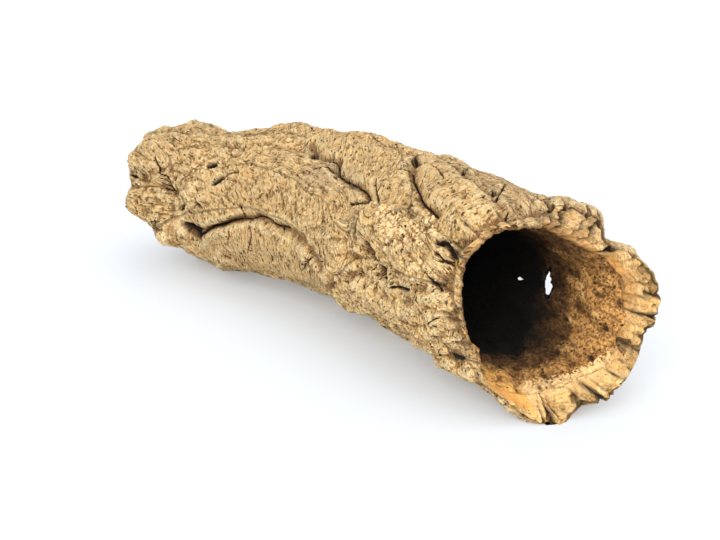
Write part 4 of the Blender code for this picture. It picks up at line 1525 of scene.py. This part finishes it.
def skin_grain(tree):
    """Streaks and threads along the grain; the streaks are strongest where the bark is smooth."""
    way = {"Along": mask_of(tree, "grain_along"), "Across": mask_of(tree, "grain_across")}
    even = calc(tree, "MULTIPLY_ADD", mask_of(tree, "smooth"), 0.7, 0.3)
    streaks = use(tree, FIBRES, **way, Length=24.0, Width=0.55, Sharpness=0.04)
    fine_streaks = use(tree, FIBRES, **way, Length=14.0, Width=0.4, Sharpness=0.05)
    return {
        "streaks": calc(tree, "MULTIPLY", even, streaks),
        "fine_streaks": calc(tree, "MULTIPLY", even, fine_streaks),
        "threads": use(tree, THREADS, **way, Length=26.0, Width=2.4, Thickness=0.03),
        "pale_threads": use(tree, THREADS, **way, Length=20.0, Width=2.0, Thickness=0.028, Shift=40.0),
    }


def skin_flakes(tree, place, coarse):
    """Two sizes of thin flakes: the height of each, and the line of painted shade at its foot."""
    ledges, ledge_shade = use_both(tree, LEDGES, Place=stretched(tree, 0.45), Size=10.0, Steps=14.0, Edge=0.13)
    flaking, flake_shade = use_both(tree, LEDGES, Place=place, Size=6.0, Steps=10.0, Edge=0.14)
    return {
        "ledges": ledges,
        "ledge_shade": ledge_shade,
        "flaking": flaking,
        "flake_shade": calc(tree, "MULTIPLY", coarse, flake_shade),
    }


def skin_cracks(tree, place):
    """Everything on the skin that is nearly black: pores, specks, hairlines and crack lines."""
    width = calc(tree, "MULTIPLY", mask_of(tree, "line_near"), 0.62)
    side = mask_of(tree, "line_side")
    return {
        "dots": use(tree, PINHOLES, Place=place, Spacing=4.0, Size=1.4, Share=0.4),
        "specks": use(tree, PINHOLES, Place=stretched(tree, 0.36), Spacing=2.2, Size=0.9, Share=0.6),
        "hairlines": use(tree, HAIRLINES, Place=place, Spacing=10.0, Width=0.42),
        "lines": use(tree, CRISP_LINES, Place=place, Side=side, Width=width, Jag=2.2),
    }


def skin_relief(tree):
    """Edges that stand out, painted pale as wear and as a highlight; dips beside them and broad hollows, for
    painted shade.
    """
    return {
        "edge": between(tree, mask_of(tree, "relief"), 0.1, 0.8),
        "dip_shade": between(tree, mask_of(tree, "relief"), -0.1, -0.9),
        "hollow": between(tree, mask_of(tree, "hollow"), -0.8, -5.0),
    }


def skin_masks(tree, place):
    """Every mask that the skin's colour and bumps share, by name."""
    coarse = calc(tree, "MULTIPLY_ADD", mask_of(tree, "smooth"), -0.5, 1.0)
    crumbly = between(tree, mask_of(tree, "crumbly"), 0.35, 0.8)
    mask = {name: use(tree, STAINS, Place=place, **values) for name, values in SKIN_STAINS.items()}
    mask |= skin_grain(tree) | skin_flakes(tree, place, coarse) | skin_cracks(tree, place)
    mask["pits"] = calc(tree, "MULTIPLY", mask["clusters"], mask["hollows"])
    mask["chips"] = calc(tree, "MULTIPLY", crumbly, mask["pale_bits"])
    mask["grit"] = calc(tree, "MULTIPLY", coarse, mask["dark_bits"])
    mask["crumbs"] = use(tree, CRUMBS, Place=place, Size=1.6)
    return mask | skin_relief(tree)


def skin_colour(tree, mask):
    return coat(
        tree, TAN,
        (mask["bleached"], 0.5, LIGHT_TAN),
        (mask["broad"], 0.35, LIGHT_TAN),
        (mask["warm"], 0.45, GOLD),
        (mask_of(tree, "weathered"), 0.6, GREY_TAN),
        # darker towards the far end
        (mask_of(tree, "far_darkening"), 0.22, DIRT_AND_SHADE),
        (mask["grime"], 0.24, DIRT_AND_SHADE),
        (mask["flakes"], 0.45, PALE),
        (mask["fine_streaks"], 0.45, PALE),
        (mask["streaks"], 0.25, DIRT_AND_SHADE),
        (mask["grit"], 0.5, DIRT_AND_SHADE),
        (mask["pale_threads"], 0.75, PALE),
        (mask["threads"], 0.8, DIRT_AND_SHADE),
        # painted shade at the foot of each flake
        (mask["ledge_shade"], 0.3, DIRT_AND_SHADE),
        (mask["flake_shade"], 0.25, DIRT_AND_SHADE),
        # pale edges: rubbed wear and a painted highlight
        (mask["edge"], 0.6, PALE),
        (mask["chips"], 0.7, PALE),
        (mask["dirt"], 0.26, DIRT_AND_SHADE),
        # painted shade in the dips beside edges
        (mask["dip_shade"], 0.55, DIRT_AND_SHADE),
        (between(tree, mask_of(tree, "inner"), 0.5, 0.95), 0.7, ROT_BROWN),
        # painted shade in broad recesses
        (mask["hollow"], 0.5, DIRT_AND_SHADE),
        (mask["specks"], 0.85, CRACK_BROWN),
        (mask["pits"], 0.9, CRACK_BROWN),
        (mask["hairlines"], 0.85, CRACK_BROWN),
        (mask["lines"], 0.97, CRACK_BROWN),
        (mask["dots"], 0.95, CRACK_BROWN),
        (mask_of(tree, "pore"), 0.8, CRACK_BROWN),
        (mask_of(tree, "crack"), 1.0, CRACK_BROWN),
    )


SKIN_BUMPS = {
    "ledges": 0.6, "flaking": 0.5, "crumbs": 0.8, "flakes": 0.3, "streaks": -0.3, "threads": -0.7,
    "pale_threads": 0.3, "dots": -1.2, "specks": -0.7, "lines": -0.5, "pits": -0.9, "chips": 0.6,
    "grit": -0.9,
}


def skin_finish():
    material, tree, shader, place = new_finish("bark_skin")
    mask = skin_masks(tree, place)
    tree.links.new(skin_colour(tree, mask), shader.inputs["Base Color"])
    tree.links.new(calc(tree, "MULTIPLY_ADD", mask["bleached"], -0.12, 0.95), shader.inputs["Roughness"])
    raise_bumps(tree, shader, *((mask[name], height) for name, height in SKIN_BUMPS.items()))
    return material


# %% Broken wall
def break_finish():
    material, tree, shader, place = new_finish("bark_break")
    along, across = mask_of(tree, "grain_along"), mask_of(tree, "grain_across")
    layers = use(tree, FIBRES, Along=along, Across=across, Length=18.0, Width=0.9)
    threads = use(tree, FIBRES, Along=across, Across=along, Length=14.0, Width=1.0)
    dots = use(tree, PINHOLES, Place=place, Spacing=4.0, Size=0.7, Share=0.4)
    patches = use(tree, STAINS, Place=place, Size=9.0, Share=0.48, Softness=0.12)
    grit = use(tree, STAINS, Place=place, Size=2.0, Share=0.42, Softness=0.03)
    dirt = use(tree, STAINS, Place=place, Size=4.0, Share=0.4, Softness=0.07)
    crumbs = use(tree, CRUMBS, Place=place, Size=1.4)
    blotches = use(tree, STAINS, Place=place, Size=12.0, Share=0.48, Softness=0.14)
    rot = use(tree, STAINS, Place=place, Size=1.9, Share=0.46, Softness=0.06)
    fresh = mask_of(tree, "fresh")
    inner = between(tree, mask_of(tree, "inner"), 0.45, 1.0)
    flakes = use(tree, STAINS, Place=place, Size=1.8, Share=0.45, Softness=0.05, Detail=3.0)
    colour = coat(
        tree, TAN,
        (patches, 0.5, PALE),
        (mask_of(tree, "weathered"), 0.8, GREY_TAN),
        (flakes, 0.4, PALE),
        (layers, 0.4, DIRT_AND_SHADE),
        (dirt, 0.35, DIRT_AND_SHADE),
        (grit, 0.45, DIRT_AND_SHADE),
        (inner, 0.6, ROT_GOLD),
        (calc(tree, "MULTIPLY", inner, blotches), 0.4, ROT_BROWN),
        # painted light on the wall's inner face by the mouth's floor
        (calc(tree, "MULTIPLY", inner, mask_of(tree, "lip")), 0.8, LIGHT_TAN),
        (calc(tree, "MULTIPLY", inner, rot), 0.4, ROT_DARK_AND_SHADE),
        (fresh, 0.95, ORANGE),
        (calc(tree, "MULTIPLY", fresh, threads), 0.35, RUST),
        (dots, 0.85, CRACK_BROWN),
        (mask_of(tree, "crack"), 1.0, CRACK_BROWN),
    )
    tree.links.new(colour, shader.inputs["Base Color"])
    tree.links.new(calc(tree, "MULTIPLY_ADD", patches, -0.1, 0.95), shader.inputs["Roughness"])
    raise_bumps(tree, shader, (crumbs, 0.5), (layers, -0.3), (dots, -0.7))
    return material


# %% Bore
def bore_finish():
    material, tree, shader, place = new_finish("bark_bore")
    blotches = use(tree, STAINS, Place=place, Size=12.0, Share=0.48, Softness=0.14)
    rot = use(tree, STAINS, Place=place, Size=1.9, Share=0.46, Softness=0.06)
    patches = use(tree, STAINS, Place=place, Size=6.0, Share=0.42, Softness=0.1)
    dots = use(tree, PINHOLES, Place=place, Spacing=3.0, Size=1.3, Share=0.5)
    crumbs = use(tree, CRUMBS, Place=place, Size=1.6)
    flakes = use(tree, STAINS, Place=place, Size=1.3, Share=0.45, Softness=0.04, Detail=3.0)
    # painted light on the bore's floor by the mouth, with a ragged edge
    lip = calc(tree, "MULTIPLY_ADD", rot, -0.3, mask_of(tree, "lip"))
    lip = calc(tree, "MULTIPLY_ADD", patches, -0.3, lip)
    ragged_lit_floor, fresh = between(tree, lip, 0.2, 0.5), mask_of(tree, "fresh")
    worn = calc(tree, "MULTIPLY_ADD", calc(tree, "MAXIMUM", ragged_lit_floor, fresh), -0.75, 1.0)
    along, across = mask_of(tree, "depth"), mask_of(tree, "grain_along")
    threads = use(tree, FIBRES, Along=across, Across=along, Length=20.0, Width=1.2)
    # painted shade grows with this depth; blotches make its edge uneven
    uneven = calc(tree, "MULTIPLY", blotches, 8.0)
    depth = calc(tree, "ADD", mask_of(tree, "gloom"), uneven)
    dip_shade = between(tree, mask_of(tree, "relief"), -0.1, -1.0)
    edge = between(tree, mask_of(tree, "relief"), 0.2, 1.2)
    colour = coat(
        tree, ROT_GOLD,
        (blotches, 0.35, ROT_BROWN),
        (ragged_lit_floor, 0.9, LIGHT_TAN),
        (fresh, 0.95, ORANGE),
        (calc(tree, "MULTIPLY", fresh, threads), 0.35, RUST),
        (flakes, 0.5, ROT_PALE_AND_HIGHLIGHT),
        # pale wood on edges that stand out, and a painted highlight
        (edge, 0.5, ROT_PALE_AND_HIGHLIGHT),
        (calc(tree, "MULTIPLY", worn, patches), 0.5, ROT_BROWN),
        (calc(tree, "MULTIPLY", worn, rot), 0.6, ROT_DARK_AND_SHADE),
        # painted shade in dips
        (dip_shade, 0.7, ROT_DARK_AND_SHADE),
        (dots, 0.85, ROT_BLACK_AND_SHADE),
        (mask_of(tree, "pore"), 0.8, ROT_BLACK_AND_SHADE),
        # painted shade: on the ceiling, and darkening to black deeper in
        (mask_of(tree, "ceiling_shade"), 0.75, ROT_DARK_AND_SHADE),
        (between(tree, depth, 8.0, 50.0), 0.35, ROT_DARK_AND_SHADE),
        (between(tree, depth, 46.0, 56.0), 0.75, ROT_DARK_AND_SHADE),
        (between(tree, depth, 52.0, 90.0), 1.0, ROT_BLACK_AND_SHADE),
    )
    tree.links.new(colour, shader.inputs["Base Color"])
    tree.links.new(calc(tree, "MULTIPLY_ADD", blotches, 0.1, 0.85), shader.inputs["Roughness"])
    raise_bumps(tree, shader, (crumbs, 0.9), (rot, -0.4), (dots, -0.8))
    return material


# %% [markdown]
# ## Crumbs
#
# Pale crumbs of cork stick to the bark in front of the mouth. They are too small and too loose for
# the sheet, whose corners stand over a millimetre apart there. A particle system could strew them,
# but each patch has its own place in the photograph, so a loop puts uneven little balls, pressed
# flat and half sunk in the skin, around listed spots.

# %% Crumbs
def crumb_finish():
    material, tree, shader, place = new_finish("bark_crumbs")
    grit = use(tree, STAINS, Place=place, Size=1.2, Share=0.4, Softness=0.05)
    tree.links.new(coat(tree, CRUMB_PALE, (grit, 0.5, TAN)), shader.inputs["Base Color"])
    shader.inputs["Roughness"].default_value = 0.95
    raise_bumps(tree, shader, (use(tree, CRUMBS, Place=place, Size=1.0), 0.4))
    return material


# Each patch of crumbs: station, angle and how many
CRUMB_SPOTS = (
    (312, 51, 14), (320, 54, 22), (329, 57, 22), (337, 57, 16), (329, 63, 8), (345, 51, 8), (356, 52, 8),
    (354, 44, 6), (348, 60, 6), (77, 53, 3), (84, 51, 3), (91, 47, 2), (98, 63, 3), (69, 90, 4),
)
CRUMB_SIZE = (0.6, 2.3)
CRUMB_SPREAD = 3.0
CRUMB_SEED = 3


def skin_point(at_station, at_angle):
    """The sheet's corner nearest to a place on the skin."""
    around = wrapped(angle[:SKIN_ROWS] - at_angle) * UNROLL_RADIUS
    gap = np.hypot(station[:SKIN_ROWS] - at_station, around)
    return Vector(points[np.unravel_index(gap.argmin(), gap.shape)])


def scatter_crumbs():
    """Little chips of cork that stick to the skin, each one an uneven ball pressed flat."""
    chance = random.Random(CRUMB_SEED)
    bm = bmesh.new()
    for at_station, at_angle, count in CRUMB_SPOTS:
        for _ in range(count):
            along, around = chance.gauss(at_station, CRUMB_SPREAD), chance.gauss(at_angle, CRUMB_SPREAD)
            spot = skin_point(along, math.radians(around))
            size = chance.uniform(*CRUMB_SIZE) * MM
            turn = Euler([chance.uniform(0, math.tau) for _ in range(3)]).to_matrix().to_4x4()
            wide, thick = size * chance.uniform(0.5, 0.9), size * chance.uniform(0.3, 0.6)
            squash = Matrix.Diagonal((size, wide, thick, 1))
            chip = bmesh.ops.create_icosphere(bm, subdivisions=1, radius=1.0)["verts"]
            for corner in chip:
                corner.co *= chance.uniform(0.75, 1.2)
            bmesh.ops.transform(bm, matrix=Matrix.Translation(spot) @ turn @ squash, verts=chip)
    mesh = bpy.data.meshes.new("cork_crumbs")
    bm.to_mesh(mesh)
    bm.free()
    crumbs = bpy.data.objects.new("cork_crumbs", mesh)
    bpy.context.scene.collection.objects.link(crumbs)
    mesh.materials.append(crumb_finish())
    return crumbs


crumbs = scatter_crumbs()
print(len(crumbs.data.polygons) // 20, "crumbs")

# %% The bark's finishes
for finish in (skin_finish(), break_finish(), bore_finish()):
    bark.data.materials.append(finish)
print("finishes:", [material.name for material in bark.data.materials])

# %% Each face gets the finish of its zone
SHARP_ANGLE = 38.0


def paint_zones(piece):
    mesh = piece.data
    zone = np.empty(len(mesh.vertices), np.float32)
    mesh.attributes["zone"].data.foreach_get("value", zone)
    loops = np.empty(len(mesh.loops), np.int32)
    mesh.loops.foreach_get("vertex_index", loops)
    starts = np.empty(len(mesh.polygons), np.int32)
    mesh.polygons.foreach_get("loop_start", starts)
    chosen = np.minimum.reduceat(zone[loops], starts)
    mesh.polygons.foreach_set("material_index", np.rint(chosen).astype(np.int32))
    mesh.shade_smooth()
    mesh.set_sharp_from_angle(angle=math.radians(SHARP_ANGLE))
    return np.bincount(np.rint(chosen).astype(int))


print("faces of skin, break and bore:", paint_zones(bark))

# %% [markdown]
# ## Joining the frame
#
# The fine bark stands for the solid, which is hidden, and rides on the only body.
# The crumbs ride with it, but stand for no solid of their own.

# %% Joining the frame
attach(bark, "root")
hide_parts(NODE)
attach(crumbs, "root")
